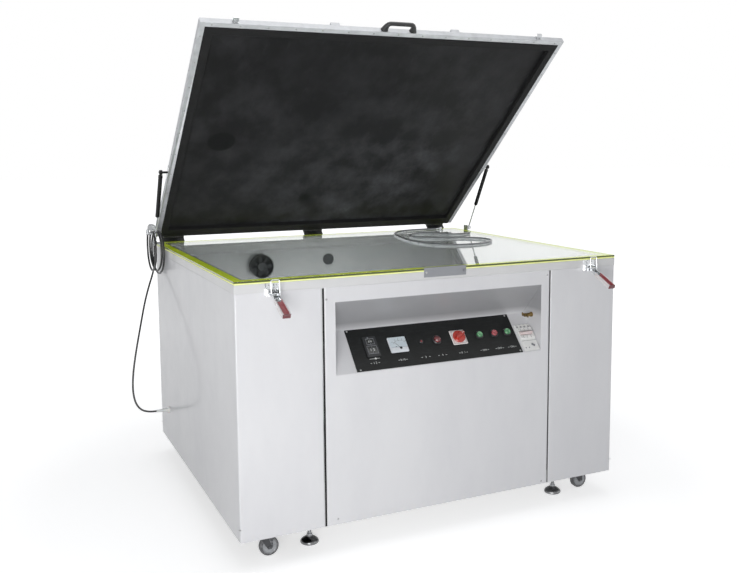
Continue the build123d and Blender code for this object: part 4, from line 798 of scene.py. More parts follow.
fan_middle = middle_of("fan_housing")
guard_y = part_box("fan_housing")[1].y + 0.0015
outward = stand((fan_middle.x, guard_y, fan_middle.z), spin(-90, "X"))
wires = ring_set("screw_steel", 5, 9, 44, 0.0, 0.9, 48)
spokes = []
for quarter in range(4):
    bar = cuboid((-0.8, 0.8), (8, 50), (0.8, 2.4), 0.3, 1)
    spokes.append(placed(bar, outward @ spin(90 * quarter + 45, "Z")))
shape = joined(from_mesh(wires, outward @ shift(0, 0, 0.9)), *spokes)
piece("fan_guard", shape, "screw_steel", "cabinet", slot="steel")
# Painted shade: a dark disc behind the blades closes the view through the fan.
piece("fan_filter", placed(disc(43, 0, 1, 48), outward @ shift(0, 0, -1.6)), "fan_plastic", "cabinet")
corner = 34.5
places = [outward @ Vector((x, y, 1.2)) for x in (-corner, corner) for y in (corner, -corner)]
screw_set("fan_screws", places, back, 7.0, "cabinet")
plug_disc = [(0, 0), (24, 0), (24, 2), (21, 4.8), (17, 5.2), (15, 3), (0, 2.4)]
hole_x, hole_z, plug_depth = 55, 714, 1.5
inward = seat(hole_x, rear_y - plug_depth, hole_z, spin(90, "X"))
piece("wall_grommet", placed(turned(plug_disc), inward), "fan_plastic", "cabinet")


# ---- Control plate --------------------------------------------------------------------------
# A black anodised plate screwed to the shelf, pierced for the controls. Under each control is a
# short caption; here they are plain numbers and ON or OFF, screen-printed in white.

shader, tree = new_finish("plate_black", (16, 18, 18), 0.5, Specular_IOR_Level=0.3)
where = around(tree)
dust = clouds(tree, where, 0.02, 8.0, 0.7)
scuffs = clouds(tree, around(tree, (0.15, 2.0, 1.0)), 0.006, 4.0, 0.6)
worn = span(tree, sums(tree, "MULTIPLY", dust, scuffs), 0.22, 0.5)
drive(
    shader,
    Base_Color=tint(tree, worn, (14, 16, 16), (34, 37, 38)),
    Roughness=span(tree, dust, 0.3, 0.7, 0.3, 0.5),
)
relief(shader, clouds(tree, where, 0.0012, 2.0), 0.00003, 0.4)
dressed("front_plate", "control_plate", 0.3, "plate_black")

shelf_low, shelf_high, shelf_run = 529.0, 638.6, 106.0
slope = math.atan2(shelf_high - shelf_low, shelf_run)
plate_thickness = 2.0
shelf = seat(0, front_y, shelf_low, Matrix.Rotation(slope, 4, "X"))
shelf_facing = (0, -math.sin(slope), math.cos(slope))


def on_shelf(x, s, height=0.0):
    """A seat on the shelf: x across, s up the slope from its front edge, height above it."""
    return shelf @ shift(x, s, height)


def on_plate(x, s, height=0.0):
    return on_shelf(x, s, plate_thickness + height)


mottled("print_white", (214, 216, 214), 0.5, (188, 190, 188), (228, 230, 228), (0.003, 4.0))


def lettering(text, size, depth=0.12):
    """Generic characters as a thin closed shape, centred, in millimetres."""
    curve = bpy.data.curves.new("marks", "FONT")
    curve.body = text
    curve.size = size
    curve.extrude = depth
    curve.align_x, curve.align_y = "CENTER", "CENTER"
    curve.resolution_u = 3
    shape = from_mesh(frozen(in_scene("marks", curve)), Matrix.Identity(4))
    bmesh.ops.remove_doubles(shape, verts=shape.verts[:], dist=1e-4)
    return shape


caption_row, timer_rule_row = 26.0, 41.0
captions = [(-222, "1 2"), (-130, "0-10"), (-52, "3"), (6, "4")]
captions += [(80, "0  1"), (157, "ON"), (213, "OFF"), (260, "ON")]
marks = []
for x, text in captions:
    marks.append(placed(lettering(text, 9.5), on_plate(x, caption_row, 0.1)))
    for side in (-1, 1):
        dash = cuboid((side * 13 - 2.4, side * 13 + 2.4), (-0.7, 0.7), (0, 0.15))
        marks.append(placed(dash, on_plate(x, caption_row)))
timer_x, timer_row = -219.0, 81.0
rule = cuboid((-17, 17), (-0.7, 0.7), (0, 0.15))
marks.append(placed(rule, on_plate(timer_x, timer_rule_row)))
marks.append(placed(disc(3.2, 0, 0.4, 20), on_plate(timer_x + 3, timer_rule_row)))
piece("plate_captions", joined(*marks), "print_white", "cabinet", slot="plate_black")
plate_screws = [(-280, 144), (280, 144), (283, 9), (-275, 8)]
places = [on_plate(x, s).translation for x, s in plate_screws]
screw_set("plate_screws", places, shelf_facing, 6.0, "cabinet")


# ---- Timer and ammeter ----------------------------------------------------------------------
# The timer sets the exposure: a black moulded case with a display over a row of digit wheels,
# each behind a pale frame. The ammeter shows the lamp's current: a pale glossy case, a light
# card with plain numbers, a needle and a black zero screw.

for name, colour, roughness, dark, light, noise, coat, coat_roughness in (
    ("meter_case", (222, 226, 230), 0.24, (214, 219, 224), (230, 233, 236), (0.02, 3.0), 0.4, 0.05),
    ("meter_card", (206, 218, 224), 0.5, (196, 210, 218), (218, 226, 230), (0.02, 2.0), 0.8, 0.03),
    ("display_dark", (38, 42, 40), 0.12, (30, 33, 32), (50, 54, 52), (0.01, 2.0), 0.9, 0.04),
):
    coats = {"Coat_Weight": coat, "Coat_Roughness": coat_roughness}
    mottled(name, colour, roughness, dark, light, noise, **coats)
mottled(
    "instrument", (36, 38, 40), 0.35, (28, 30, 32), (44, 46, 48), (0.003, 3.0),
    bumps=(0.00004, 0.5, 0.0007, 2.0), Coat_Weight=0.2,
)
mottled("ink_black", (22, 22, 24), 0.5, (16, 16, 18), (34, 34, 36), (0.002, 2.0))


def outline(width, height, line, low, high, ease=0.3):
    """A rectangular frame about the origin, of four rounded bars."""
    w, h = width / 2, height / 2
    bars = [((-w, w), (h - line, h)), ((-w, w), (-h, line - h))]
    bars += [((-w, line - w), (-h, h)), ((w - line, w), (-h, h))]
    return joined(*[cuboid(x, y, (low, high), ease, 1) for x, y in bars])


base = on_plate(timer_x, timer_row)
windows = ((17, 18, 24, "0 0"), (-12, 26, 30, "1 5"))
shapes = [placed(cuboid((-22, 22), (-36, 36), (0, 5), 1.2), base)]
for row, tall, wide, digits in windows:
    middle = base @ Matrix.Translation((0, row, 5))
    shapes.append(placed(cuboid((-wide / 2, wide / 2), (-tall / 2, tall / 2), (-0.4, 0.5)), middle, 1))
    shapes.append(placed(outline(wide + 3, tall + 3, 1.6, -0.4, 1.6), middle, 2))
    shapes.append(placed(cuboid((-0.5, 0.5), (-tall / 2, tall / 2), (0.4, 0.9)), middle, 2))
    shapes.append(placed(lettering(digits, tall * 0.5), middle @ shift(0, 0, 0.6), 3))
lens = [(0, 0), (2.4, 0), (2.4, 0.8), (1.4, 1.6), (0, 1.8)]
shapes.append(placed(turned(lens, 20), base @ shift(-4, 31, 5), 2))
timer_finishes = ("instrument", "display_dark", "galvanised", "print_white")
piece("exposure_timer", joined(*shapes), timer_finishes, "cabinet", "timer")


def tick_tree():
    """Short bars standing out from an arc, like the divisions of a scale."""
    kinds = {"Count": "Int", "Radius": "Float", "Start": "Float", "Sweep": "Float", "Size": "Vector"}
    tree, entry, leaving = new_tree("scale", **kinds)
    inputs = {"Resolution": entry["Count"], "Radius": entry["Radius"]}
    inputs |= {"Start Angle": entry["Start"], "Sweep Angle": entry["Sweep"]}
    arc = put(tree, "GeometryNodeCurveArc", inputs).outputs[0]
    tangent = put(tree, "GeometryNodeInputTangent").outputs[0]
    turn = put(tree, "FunctionNodeAlignRotationToVector", {"Vector": tangent}, axis="Y").outputs[0]
    bar = put(tree, "GeometryNodeMeshCube", {"Size": entry["Size"]}).outputs["Mesh"]
    return close_tree(tree, entry, leaving, strewn(tree, arc, bar, Rotation=turn))


scale_ticks = tick_tree()
meter_x, meter_row, meter_pivot = -131.0, 78.0, (4.0, -15.0)
base = on_plate(meter_x, meter_row)
card = base @ shift(*meter_pivot, 8.2)
arc_radius, arc_start, arc_sweep = 27.0, math.radians(48), math.radians(88)
arc = {"Start": arc_start, "Sweep": arc_sweep}
fine = {"Count": 21, "Radius": arc_radius, "Size": (2.2, 0.3, 0.2)}
bold = {"Count": 5, "Radius": arc_radius + 1, "Size": (4.0, 0.6, 0.2)}
needle = cuboid((-0.35, 0.35), (2, 28), (0.1, 0.4))
zero_screw = [(0, 0), (4.2, 0), (4.2, 1.4), (3.2, 2.2), (0, 2.2)]
shapes = [
    placed(cuboid((-30, 30), (-27, 27), (0, 6), 2.0), base),
    placed(cuboid((-27.5, 27.5), (-10, 25), (5.6, 8.0), 0.8), base, 1),
    placed(cuboid((-27.5, 27.5), (-25, -11), (5.6, 9.0), 1.6), base),
    from_mesh(grown(scale_ticks, "ticks", "ink_black", **fine, **arc), card, 2),
    from_mesh(grown(scale_ticks, "ticks", "ink_black", **bold, **arc), card, 2),
    placed(needle, card @ spin(38, "Z"), 2),
    placed(turned(zero_screw, 24), card, 2),
]
number_radius = arc_radius + 5.5
for step in range(5):
    angle = arc_start + arc_sweep * step / 4
    spot = card @ shift(number_radius * math.cos(angle), number_radius * math.sin(angle), 0)
    shapes.append(placed(lettering(str(10 - 10 * step // 4), 4.4), spot, 2))
shapes.append(placed(lettering("A", 6.5), card @ shift(-14, 6, 0), 2))
piece("lamp_ammeter", joined(*shapes), ("meter_case", "meter_card", "ink_black"), "cabinet", "ammeter")


# ---- Signal lamps, bezels and buttons -------------------------------------------------------
# Two red signal lamps and three push-buttons in black collars. The caps slide in the collars:
# green starts the exposure, red stops it, the second green starts the vacuum.

mottled("bezel", (30, 30, 32), 0.3, (24, 24, 26), (40, 40, 43), (0.003, 3.0), Coat_Weight=0.3)


def coloured_cap(name, dark, light):
    """Clear-coated coloured acrylic, deeper in places."""
    clear = {"Coat_Weight": 0.9, "Coat_Roughness": 0.04, "Subsurface_Weight": 0.15}
    clear["Subsurface_Radius"] = (0.002, 0.002, 0.002)
    mottled(name, light, 0.22, dark, light, (0.007, 3.0), reach=(0.35, 0.65), **clear)


coloured_cap("green_cap", (66, 138, 88), (124, 190, 138))
coloured_cap("red_cap", (150, 50, 58), (210, 104, 110))
coloured_cap("signal_red", (74, 12, 18), (120, 26, 32))
control_row = 81.0
indicator_x, pilot_x, button_x = -50.0, 5.0, (158.0, 213.0, 262.0)
small = [(0, 0), (7, 0), (7, 3.4), (5.8, 5), (4.6, 5), (4.4, 4.2), (0, 4.2)]
small_lens = [(0, 4), (4.4, 4.2), (3.9, 5.6), (2.2, 6.6), (0, 6.9)]
large = [(0, 0), (15, 0), (15, 3.2), (13.4, 5), (12.2, 5), (12, 4.4), (0, 4.4)]
large_lens = [(0, 4), (12, 4.6), (11.4, 8), (9, 11.4), (5, 13.4), (0, 14.2)]
collar = [(10.6, 0), (14.5, 0), (14.5, 2.4), (12.9, 5.4), (11.6, 6), (10.6, 5.4)]
shapes = []
for x, body_shape, lens_shape in ((indicator_x, small, small_lens), (pilot_x, large, large_lens)):
    base = on_plate(x, control_row)
    shapes += [placed(turned(body_shape), base), placed(turned(lens_shape, 12), base, 1)]
for x in button_x:
    base = on_plate(x, control_row)
    shapes.append(placed(turned(collar, loop=True), base))
    knurl = ring_set("bezel", 2, 14.2, 13.8, 1.4, 0.5)
    shapes.append(from_mesh(knurl, base @ shift(0, 0, 1.2)))
piece("control_collars", joined(*shapes), ("bezel", "signal_red"), "cabinet", "panel_bezels", smooth=30.0)

cap = [(0, -8), (10, -8), (10, 8.2), (9.4, 9.4), (8.4, 10), (7.4, 9.6), (6.4, 9.2), (0, 9.0)]
for name, body, finish, x in (
    ("start_cap", "start", "green_cap", button_x[0]),
    ("stop_cap", "stop", "red_cap", button_x[1]),
    ("vacuum_cap", "vacuum", "green_cap", button_x[2]),
):
    shape = placed(turned(cap), on_plate(x, control_row))
    piece(name, shape, finish, body, name.replace("_cap", "_button"))


# ---- Rotary switch --------------------------------------------------------------------------
# The main switch has a white square escutcheon with its two positions marked, and a red knob
# with a tapered grip that turns a quarter turn.

mottled(
    "escutcheon", (232, 226, 224), 0.3, (226, 219, 217), (240, 236, 234), (0.01, 3.0), Coat_Weight=0.3
)
switch_x = 82.0
base = on_plate(switch_x, control_row)
shapes = [
    placed(cuboid((-26, 26), (-26, 26), (0, 4), 1.6, 3), base),
    placed(outline(46, 46, 0.7, 3.9, 4.1), base, 1),
    placed(disc(4, 4, 14, 20), base, 1),
    placed(lettering("0", 6.5), base @ shift(-19, 19, 4.1), 1),
    placed(lettering("1", 6.5), base @ shift(20, -19, 4.1), 1),
]
piece("switch_escutcheon", joined(*shapes), ("escutcheon", "ink_black"), "cabinet", "switch_plate")

mottled(
    "knob_red", (184, 44, 30), 0.3, (164, 34, 24), (202, 58, 40), (0.006, 3.0),
    bumps=(0.00004, 0.4, 0.0008, 2.0), Coat_Weight=0.6, Coat_Roughness=0.08,
)
knob_seat = on_plate(switch_x, control_row, 4.3)
grip_seat = knob_seat @ spin(30, "Z")
knob_disc = [(4.1, 0), (20.4, 0), (21, 1.2), (21, 4.6), (19.6, 6.2), (12, 6.6), (4.1, 6.6)]


def lofted(stations, close=False):
    """A skin over like rings of points; the first and last are capped, or joined if closed."""
    shape = bmesh.new()
    rows = [[shape.verts.new(point) for point in ring] for ring in stations]
    count = len(rows[0])
    pairs = list(zip(rows, rows[1:])) + ([(rows[-1], rows[0])] if close else [])
    for first, second in pairs:
        for i in range(count):
            j = (i + 1) % count
            shape.faces.new((first[i], first[j], second[j], second[i]))
    if not close:
        shape.faces.new(rows[0])
        shape.faces.new(rows[-1][::-1])
    bmesh.ops.recalc_face_normals(shape, faces=shape.faces[:])
    return shape


def oval(half_x, half_y, power=2.6, count=20):
    """A rounded rectangle about the origin."""
    points = []
    for i in range(count):
        a = 2 * math.pi * (i + 0.5) / count
        c, s = math.cos(a), math.sin(a)
        fit = (abs(c) ** power + abs(s) ** power) ** (-1 / power)
        points.append((half_x * c * fit, half_y * s * fit))
    return points


grip = [(20.4, 8.4, 5.8), (20.2, 7.6, 10), (19.4, 6.4, 14.4), (18.4, 5.4, 16.6), (14, 3, 17.0)]
grip_shape = lofted([[(x, y, z) for x, y in oval(a, b, 3.4)] for a, b, z in grip])
shapes = [
    placed(turned(knob_disc, loop=True), knob_seat),
    placed(grip_shape, grip_seat),
    placed(cuboid((8, 18), (-0.8, 0.8), (17.0, 17.25)), grip_seat, 1),
]
piece("switch_grip", joined(*shapes), ("knob_red", "print_white"), "knob", "switch_knob", slot="red_cap")


# ---- Circuit breaker ------------------------------------------------------------------------
# A four-pole breaker stands through the shelf: white thermoset with terminal notches along its
# upper edge, a linked lever on its nose and a slanted test button on the lower block.

mottled(
    "breaker_case", (236, 236, 234), 0.34, (228, 228, 225), (243, 243, 242), (0.012, 4.0),
    bumps=(0.00004, 0.4, 0.0009, 2.0), Coat_Weight=0.2,
)
mottled(
    "breaker_toggle", (226, 212, 212), 0.35, (216, 196, 196), (236, 224, 222), (0.004, 3.0),
    Coat_Weight=0.3,
)
dressed("breaker_body", "circuit_breaker", 0.5, "breaker_case")
dressed("breaker_switch", "breaker_lever", 0.5, "breaker_toggle", "toggle")
breaker_left, breaker_right, lever_row = 298.0, 355.0, 68.0
pole = (breaker_right - breaker_left) / 4
shapes = []
for edge in (1, 2, 3):
    for low, high in ((9.5, 19), (-19, -9.5)):
        groove = cuboid((-0.35, 0.35), (lever_row + low, lever_row + high), (8.9, 9.15))
        shapes.append(placed(groove, on_shelf(breaker_left + pole * edge, 0)))
seam = cuboid((-27, 27), (-0.4, 0.4), (5.3, 5.6))
shapes.append(placed(seam, on_shelf((breaker_left + breaker_right) / 2, 40)))
test = cuboid((-6.5, 6.5), (-3, 3), (5.2, 9.0), 1.0)
shapes.append(placed(test, on_shelf(336, 22) @ spin(-38, "Z"), 1))
shapes += [placed(disc(2.2, 5.2, 5.7, 16), on_shelf(x, 14), 1) for x in (306, 318)]
for mark, row in (("0", lever_row - 14.5), ("1", lever_row + 14.5)):
    shapes.append(placed(lettering(mark, 5), on_shelf(breaker_left + 8, row, 9.1)))
piece("breaker_details", joined(*shapes), ("ink_black", "galvanised"), "cabinet", slot="breaker_case")
places = [on_shelf(breaker_left + pole * (i + 0.5), 92.5, 5.4).translation for i in range(4)]
screw_set("breaker_terminals", places, shelf_facing, 7.5, "cabinet")


# ---- Vent valve -----------------------------------------------------------------------------
# A small brass tap through the right cheek of the recess lets air back under the blanket. Its
# two-winged handle turns on the spindle.

mottled(
    "brass", (150, 126, 78), 0.42, (160, 136, 88), (96, 80, 50), (0.006, 6.0, 0.65), reach=(0.35, 0.7),
    sheen=(0.3, 0.7, 0.34, 0.56), bumps=(0.0002, 0.4, 0.006, 6.0, 0.65), Metallic=0.9,
)
dressed("vent_tap_body", "vent_valve", 0.5, "brass")

tap = stand(middle_of("valve_handle"))
one_wing = [(19, 1.0, 5.6), (16, 1.5, 6.4), (10, 1.6, 4.6), (6, 2.4, 4.2)]
wing_stations = [(-y, thick, tall) for y, thick, tall in one_wing] + [(0, 3.4, 4.6)] + one_wing[::-1]
wings = lofted([[(x, y, z) for x, z in oval(thick, tall, 2.2, 16)] for y, thick, tall in wing_stations])
hub = turned([(2.6, -3.5), (6, -3.5), (6, 3), (5.2, 3.6), (2.6, 3.6)], 28, loop=True)
shape = joined(placed(wings, tap), placed(hub, tap @ spin(90, "Y")))
piece("vent_tap_handle", shape, "brass", "tap", "valve_handle")


# ---- Lid frame ------------------------------------------------------------------------------
# Four channel rails of anodised aluminium, mitred and screwed at the corners, with two flat
# stiffeners over the blanket. Small screws clamp the blanket's edge all round.

hinge = next(j for j in frame["joints"] if j["name"] == "lid_hinge")
hinge_point = Vector(hinge["pos_m"])
lid_angle = math.radians(-hinge["range_deg"][0])
about_hinge = Matrix.Translation(hinge_point)
lid_turn = about_hinge @ Matrix.Rotation(-lid_angle, 4, "X") @ about_hinge.inverted()


def on_lid(x, y, z, turn=None):
    """A seat on the lid, counted with the lid closed and carried to where it stands open."""
    return lid_turn @ seat(x, y, z, turn)


def lid_at(x, y, z):
    return on_lid(x, y, z).translation


def spread(first, last, count):
    """Evenly spaced values from the first to the last."""
    return [first + (last - first) * i / (count - 1) for i in range(count)]


shader, tree = mottled(
    "lid_alloy", (206, 208, 211), 0.48, (196, 198, 201), (216, 218, 221), (0.04, 5.0, 0.6),
    reach=(0.35, 0.7), sheen=(0.3, 0.7, 0.42, 0.58), Metallic=0.35,
)
drawn = clouds(tree, around(tree, (0.06, 1, 1), (lid_angle, 0, 0)), 0.0012, 3.0)
relief(shader, drawn, 0.00001, 0.25)
dressed("lid_rails", "lid_frame", 0.5, "lid_alloy", "lid")

lid_half = 648.0
lid_front_y, lid_rear_y = -515.0, 575.0
lid_low_z, lid_high_z = bed_top + 4.0, bed_top + 24.0
lid_middle_y = (lid_front_y + lid_rear_y) / 2
rail_line, stiffener_x = 8.5, 216
rail_lines = (lid_front_y + rail_line, lid_rear_y - rail_line)
lid_down = lid_turn.to_3x3() @ Vector((0, 0, -1))
lid_forward = lid_turn.to_3x3() @ Vector((0, -1, 0))
lid_up, lid_back = -lid_down, -lid_forward
places = []
screw_end, rivet_end = 55, 74
for y in spread(lid_front_y + screw_end, lid_rear_y - screw_end, 10):
    places += [lid_at(side * (lid_half - rail_line), y, lid_low_z) for side in (-1, 1)]
places += [lid_at(x, y, lid_low_z) for x in spread(-612, 612, 15) for y in rail_lines]
screw_set("rail_screws", places, lid_down, 5.5, "lid")
places, facings = [], []
for y in spread(lid_front_y + rivet_end, lid_rear_y - rivet_end, 8):
    for side in (-1, 1):
        places.append(lid_at(side * lid_half, y, lid_high_z - 10))
        facings.append(Vector((side, 0, 0)))
places += [lid_at(x, y, lid_high_z + 12) for x in (-stiffener_x, stiffener_x) for y in rail_lines]
screw_set("rail_rivets", places, facings + [lid_up] * 4, 5.0, "lid")


# ---- Seal and blanket -----------------------------------------------------------------------
# A stepped cellular-rubber seal sits in the channel and its lip stands proud; the blanket is
# cured black sheet rubber, 3 mm thick, stretched over the seal's foot and clamped in the rails.
# Its face has worn grey with dust and chalk. Black strips of the same sponge sit in the cover
# seams as painted shade.

shader, tree = mottled(
    "black_sponge", (22, 22, 23), 0.75, (17, 17, 18), (30, 30, 31), (0.05, 4.0), Specular_IOR_Level=0.25
)
relief(shader, cells(tree, around(tree), 0.0016), 0.0003, 0.6)


def framed(profile, half_x, half_y, middle_y, z, place):
    """A moulding of one profile, (inset, height) points, run round a rectangle with mitres."""
    stations = []
    for side_x, side_y in ((-1, -1), (1, -1), (1, 1), (-1, 1)):
        ring = []
        for inset_by, height in profile:
            x, y = side_x * (half_x - inset_by), side_y * (half_y - inset_by)
            ring.append(place @ Vector((x, middle_y + y, z + height)))
        stations.append(ring)
    return lofted(stations, close=True)


lid_half_y = (lid_rear_y - lid_front_y) / 2
seal_low, seal_step, seal_top = bed_top + 0.4, lid_low_z + 2.0, bed_top + 16.0
rail, lip, wall = 17.0, 27.0, 2.0
tall, foot_low = seal_top - seal_low, seal_step - seal_low
profile = [(wall, tall), (wall, foot_low), (rail - 1, foot_low), (rail, foot_low - 1), (rail, 3.4)]
corner_radius = 3.4
arc = [(1 - math.sin(angle), 1 - math.cos(angle)) for angle in spread(0, math.pi / 2, 5)]
profile += [(rail + corner_radius * c, corner_radius * s) for s, c in arc]
profile += [(rail + lip - corner_radius * s, corner_radius * c) for s, c in arc]
profile.append((rail + lip, tall))
closed_lid = lid_turn @ seat(0, 0, 0)
strip_y = (lid_rear_y - rail, lid_rear_y - 1)
strip = cuboid((rail - lid_half, lid_half - rail), strip_y, (seal_low, lid_low_z), 0.8)
shape = joined(
    framed(profile, lid_half, lid_half_y, lid_middle_y, seal_low, closed_lid),
    placed(strip, closed_lid),
)
piece("sponge_seal", shape, "black_sponge", "lid", "lid_seal", smooth=50.0)
# Painted shade: black strips just behind the seams on both sides of the centre cover.
cover_low, cover_high = [corner * 1000 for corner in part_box("centre_front_panel")]
seam_y, seam_z = (cover_low.y + 0.5, cover_low.y + 1.4), (cover_low.z + 1, cover_high.z - 1)
seam_gap, left_seam, right_seam = 0.2, cover_low.x, cover_high.x
seams = ((left_seam - 5.7, left_seam - seam_gap), (right_seam + seam_gap, right_seam + 2.8))
seam_shade_strips = [placed(cuboid(seam_x, seam_y, seam_z), Matrix.Scale(0.001, 4)) for seam_x in seams]
piece("seam_strips", joined(*seam_shade_strips), "black_sponge", "cabinet")

shader, tree = new_finish("blanket_rubber", (28, 28, 29), 0.6, Specular_IOR_Level=0.14)
flat_turn = (lid_angle, 0, 0)
cloth_where = around(tree, (1, 1, 1), flat_turn)
wipes = clouds(tree, around(tree, (1.3, 1.0, 1.0), flat_turn), 0.15, 7.0, 0.66)
haze = clouds(tree, cloth_where, 0.42, 3.0, 0.5)
strokes = clouds(tree, around(tree, (2.6, 0.9, 1), flat_turn), 0.06, 6.0, 0.7)
turned_back = Matrix.Rotation(lid_angle, 4, "X")


def near(tree, where, x, y, reach, core=0.0):
    """1 at a spot on the closed lid, falling to 0 at its reach in metres."""
    spot = turned_back @ on_lid(x, y, seal_top).translation
    gap = put(tree, "ShaderNodeVectorMath", {0: where, 1: tuple(spot)}, operation="DISTANCE")
    return span(tree, gap.outputs["Value"], core, reach, 1.0, 0.0)


dusty = near(tree, cloth_where, 120, 400, 0.75)
dusty = sums(tree, "ADD", dusty, sums(tree, "MULTIPLY", near(tree, cloth_where, 420, 20, 0.5), 0.3))
chalk = sums(tree, "MULTIPLY", span(tree, wipes, 0.42, 0.72), span(tree, haze, 0.3, 0.7, 0.35, 1.0))
chalk = sums(tree, "MULTIPLY", chalk, sums(tree, "ADD", sums(tree, "MULTIPLY", dusty, 0.75), 0.35))
chalk = sums(tree, "ADD", chalk, sums(tree, "MULTIPLY", span(tree, strokes, 0.58, 0.85), 0.22))
left_spot = near(tree, cloth_where, -485, 33, 0.052, 0.044)
clean = sums(tree, "MAXIMUM", left_spot, near(tree, cloth_where, -92, 367, 0.03, 0.012))
drive(
    shader,
    Base_Color=tint(tree, clean, tint(tree, chalk, (26, 26, 27), (76, 76, 79)), (17, 17, 18)),
    Roughness=span(tree, chalk, 0.0, 0.5, 0.5, 0.8),
)
relief(shader, clouds(tree, cloth_where, 0.0011, 2.0), 0.00005, 0.4)

blanket_half = lid_half - wall
blanket_front, blanket_rear = lid_front_y + wall, lid_rear_y - wall
columns, rows = 96, 80
thick = 3.0
pinned = 44.0


def slack(x, y):
    """How far the blanket's face bellies between its clamped edges, in millimetres."""
    edge = min(x + blanket_half, blanket_half - x, y - blanket_front, blanket_rear - y) - pinned
    hold = max(0.0, min(1.0, edge / 120))
    wave = 0.9 * math.sin(x / 118 + 0.6 * math.sin(y / 190)) + 0.7 * math.sin(y / 97 + x / 310)
    return hold * hold * (3 - 2 * hold) * (wave - 0.4 + 0.5 * math.sin((x + y) / 61))


shape = bmesh.new()
grid = []
for low in (0, 1):
    for x in spread(-blanket_half, blanket_half, columns + 1):
        for y in spread(blanket_front, blanket_rear, rows + 1):
            z = seal_top + slack(x, y) + thick * low
            grid.append(shape.verts.new(closed_lid @ Vector((x, y, z))))
layer = (columns + 1) * (rows + 1)


def cell(i, j, low):
    return grid[low * layer + i * (rows + 1) + j]


for i in range(columns):
    for j in range(rows):
        shape.faces.new([cell(i, j, 0), cell(i, j + 1, 0), cell(i + 1, j + 1, 0), cell(i + 1, j, 0)])
        shape.faces.new([cell(i, j, 1), cell(i + 1, j, 1), cell(i + 1, j + 1, 1), cell(i, j + 1, 1)])
for i in range(columns):
    for j in (0, rows):
        shape.faces.new([cell(i, j, 0), cell(i + 1, j, 0), cell(i + 1, j, 1), cell(i, j, 1)])
for j in range(rows):
    for i in (0, columns):
        shape.faces.new([cell(i, j, 0), cell(i, j + 1, 0), cell(i, j + 1, 1), cell(i, j, 1)])
bmesh.ops.recalc_face_normals(shape, faces=shape.faces[:])
blanket = piece("vacuum_blanket", shape, "blanket_rubber", "lid", "rubber_blanket")


# ---- Lid handle and catches -----------------------------------------------------------------
# A black moulded bow handle in the middle of the front rail, its legs broad at the foot, and
# two plated hooked catches that the latches pull on.

mottled(
    "moulded_black", (30, 30, 31), 0.4, (24, 24, 25), (42, 42, 44), (0.01, 4.0),
    bumps=(0.0001, 0.5, 0.0012, 3.0), Coat_Weight=0.1,
)
handle_half = 51.0
handle_z = (lid_low_z + lid_high_z) / 2
leg = [(0, 0, 12, 9, 0), (0, 3, 12, 9, 0), (-0.5, 6, 10.5, 8.6, 4), (-1.5, 12, 9, 8, 10)]
leg += [(-3.4, 19, 7.8, 7.2, 18), (-7, 24.4, 7, 6.6, 44), (-12, 27.2, 6.4, 6.4, 74)]
leg += [(-21, 28, 6.2, 6.2, 90)]
stations = []
for side in (-1, 1):
    for along, out, half_thick, half_tall, lean in leg if side < 0 else leg[::-1]:
        angle = math.radians(lean)
        ring = []
        for u, w in oval(half_thick, half_tall, 3.2, 16):
            x = side * (handle_half + along) + side * u * math.cos(angle)
            y = lid_front_y - out - u * math.sin(angle)
            ring.append(closed_lid @ Vector((x, y, handle_z + w)))
        stations.append(ring)
piece("bow_handle", lofted(stations), "moulded_black", "lid", "lid_handle", slot="hinge_black", smooth=60.0)

mottled(
    "chrome", (200, 202, 204), 0.14, (178, 180, 182), (214, 216, 218), (0.008, 5.0, 0.6),
    sheen=(0.35, 0.7, 0.1, 0.28), Metallic=1.0,
)
dressed("rail_catches", "lid_catches", 0.4, "chrome", "lid")
catch_x, catch_y, catch_z = 541.0, lid_front_y - 2.5, handle_z - 5.5
places = [lid_at(side * catch_x + k * 5.5, catch_y, catch_z) for side in (-1, 1) for k in (-1, 1)]
screw_set("catch_screws", places, lid_forward, 4.5, "lid")


# ---- Hinges ---------------------------------------------------------------------------------
# Three butt hinges of black-painted steel along the rear: lower leaves screwed to the cabinet
# with the pins, upper leaves screwed to the rear rail. The paint has worn at the corners.


def worn_paint(name, dark, light, metal):
    """Black paint over steel, rubbed bright where edges stand out."""
    shader, tree = new_finish(name, dark, 0.42, Coat_Weight=0.15)
    out = put(tree, "ShaderNodeNewGeometry").outputs["Pointiness"]
    chips = clouds(tree, around(tree), 0.004, 6.0, 0.7)
    rub = sums(tree, "MULTIPLY", span(tree, out, 0.52, 0.6), span(tree, chips, 0.45, 0.6))
    paint = tint(tree, clouds(tree, around(tree), 0.02, 4.0), dark, light)
    drive(
        shader,
        Base_Color=tint(tree, rub, paint, metal),
        Roughness=span(tree, chips, 0.3, 0.7, 0.34, 0.55),
    )
    relief(shader, chips, 0.00015, 0.35)


worn_paint("hinge_black", (30, 30, 32), (46, 46, 48), (120, 120, 122))
dressed("hinge_cabinet_leaves", "hinge_lower_leaves", 0.4, "hinge_black")
dressed("hinge_lid_leaves", "hinge_upper_leaves", 0.4, "hinge_black", "lid")
hinge_x, leaf_z = (-576.0, 0.0, 576.0), bed_top - 6
places = [at(x + k * 26, rear_y + 4, leaf_z - z) for x in hinge_x for k in (-1, 1) for z in (26, 46)]
screw_set("hinge_screws", places, back, 7.0, "cabinet", "hinge_black")
places = [lid_at(x + k * 30, lid_rear_y + 4, lid_low_z + 10) for x in hinge_x for k in (-1, 1)]
screw_set("hinge_lid_screws", places, lid_back, 7.0, "lid", "hinge_black")


# ---- Gas struts -----------------------------------------------------------------------------
# On each side a bracket with a stud, a polished rod and a black gas cylinder with its eye at the
# lid. The left bracket is taller and carries the peg that the spare mains lead hangs on.

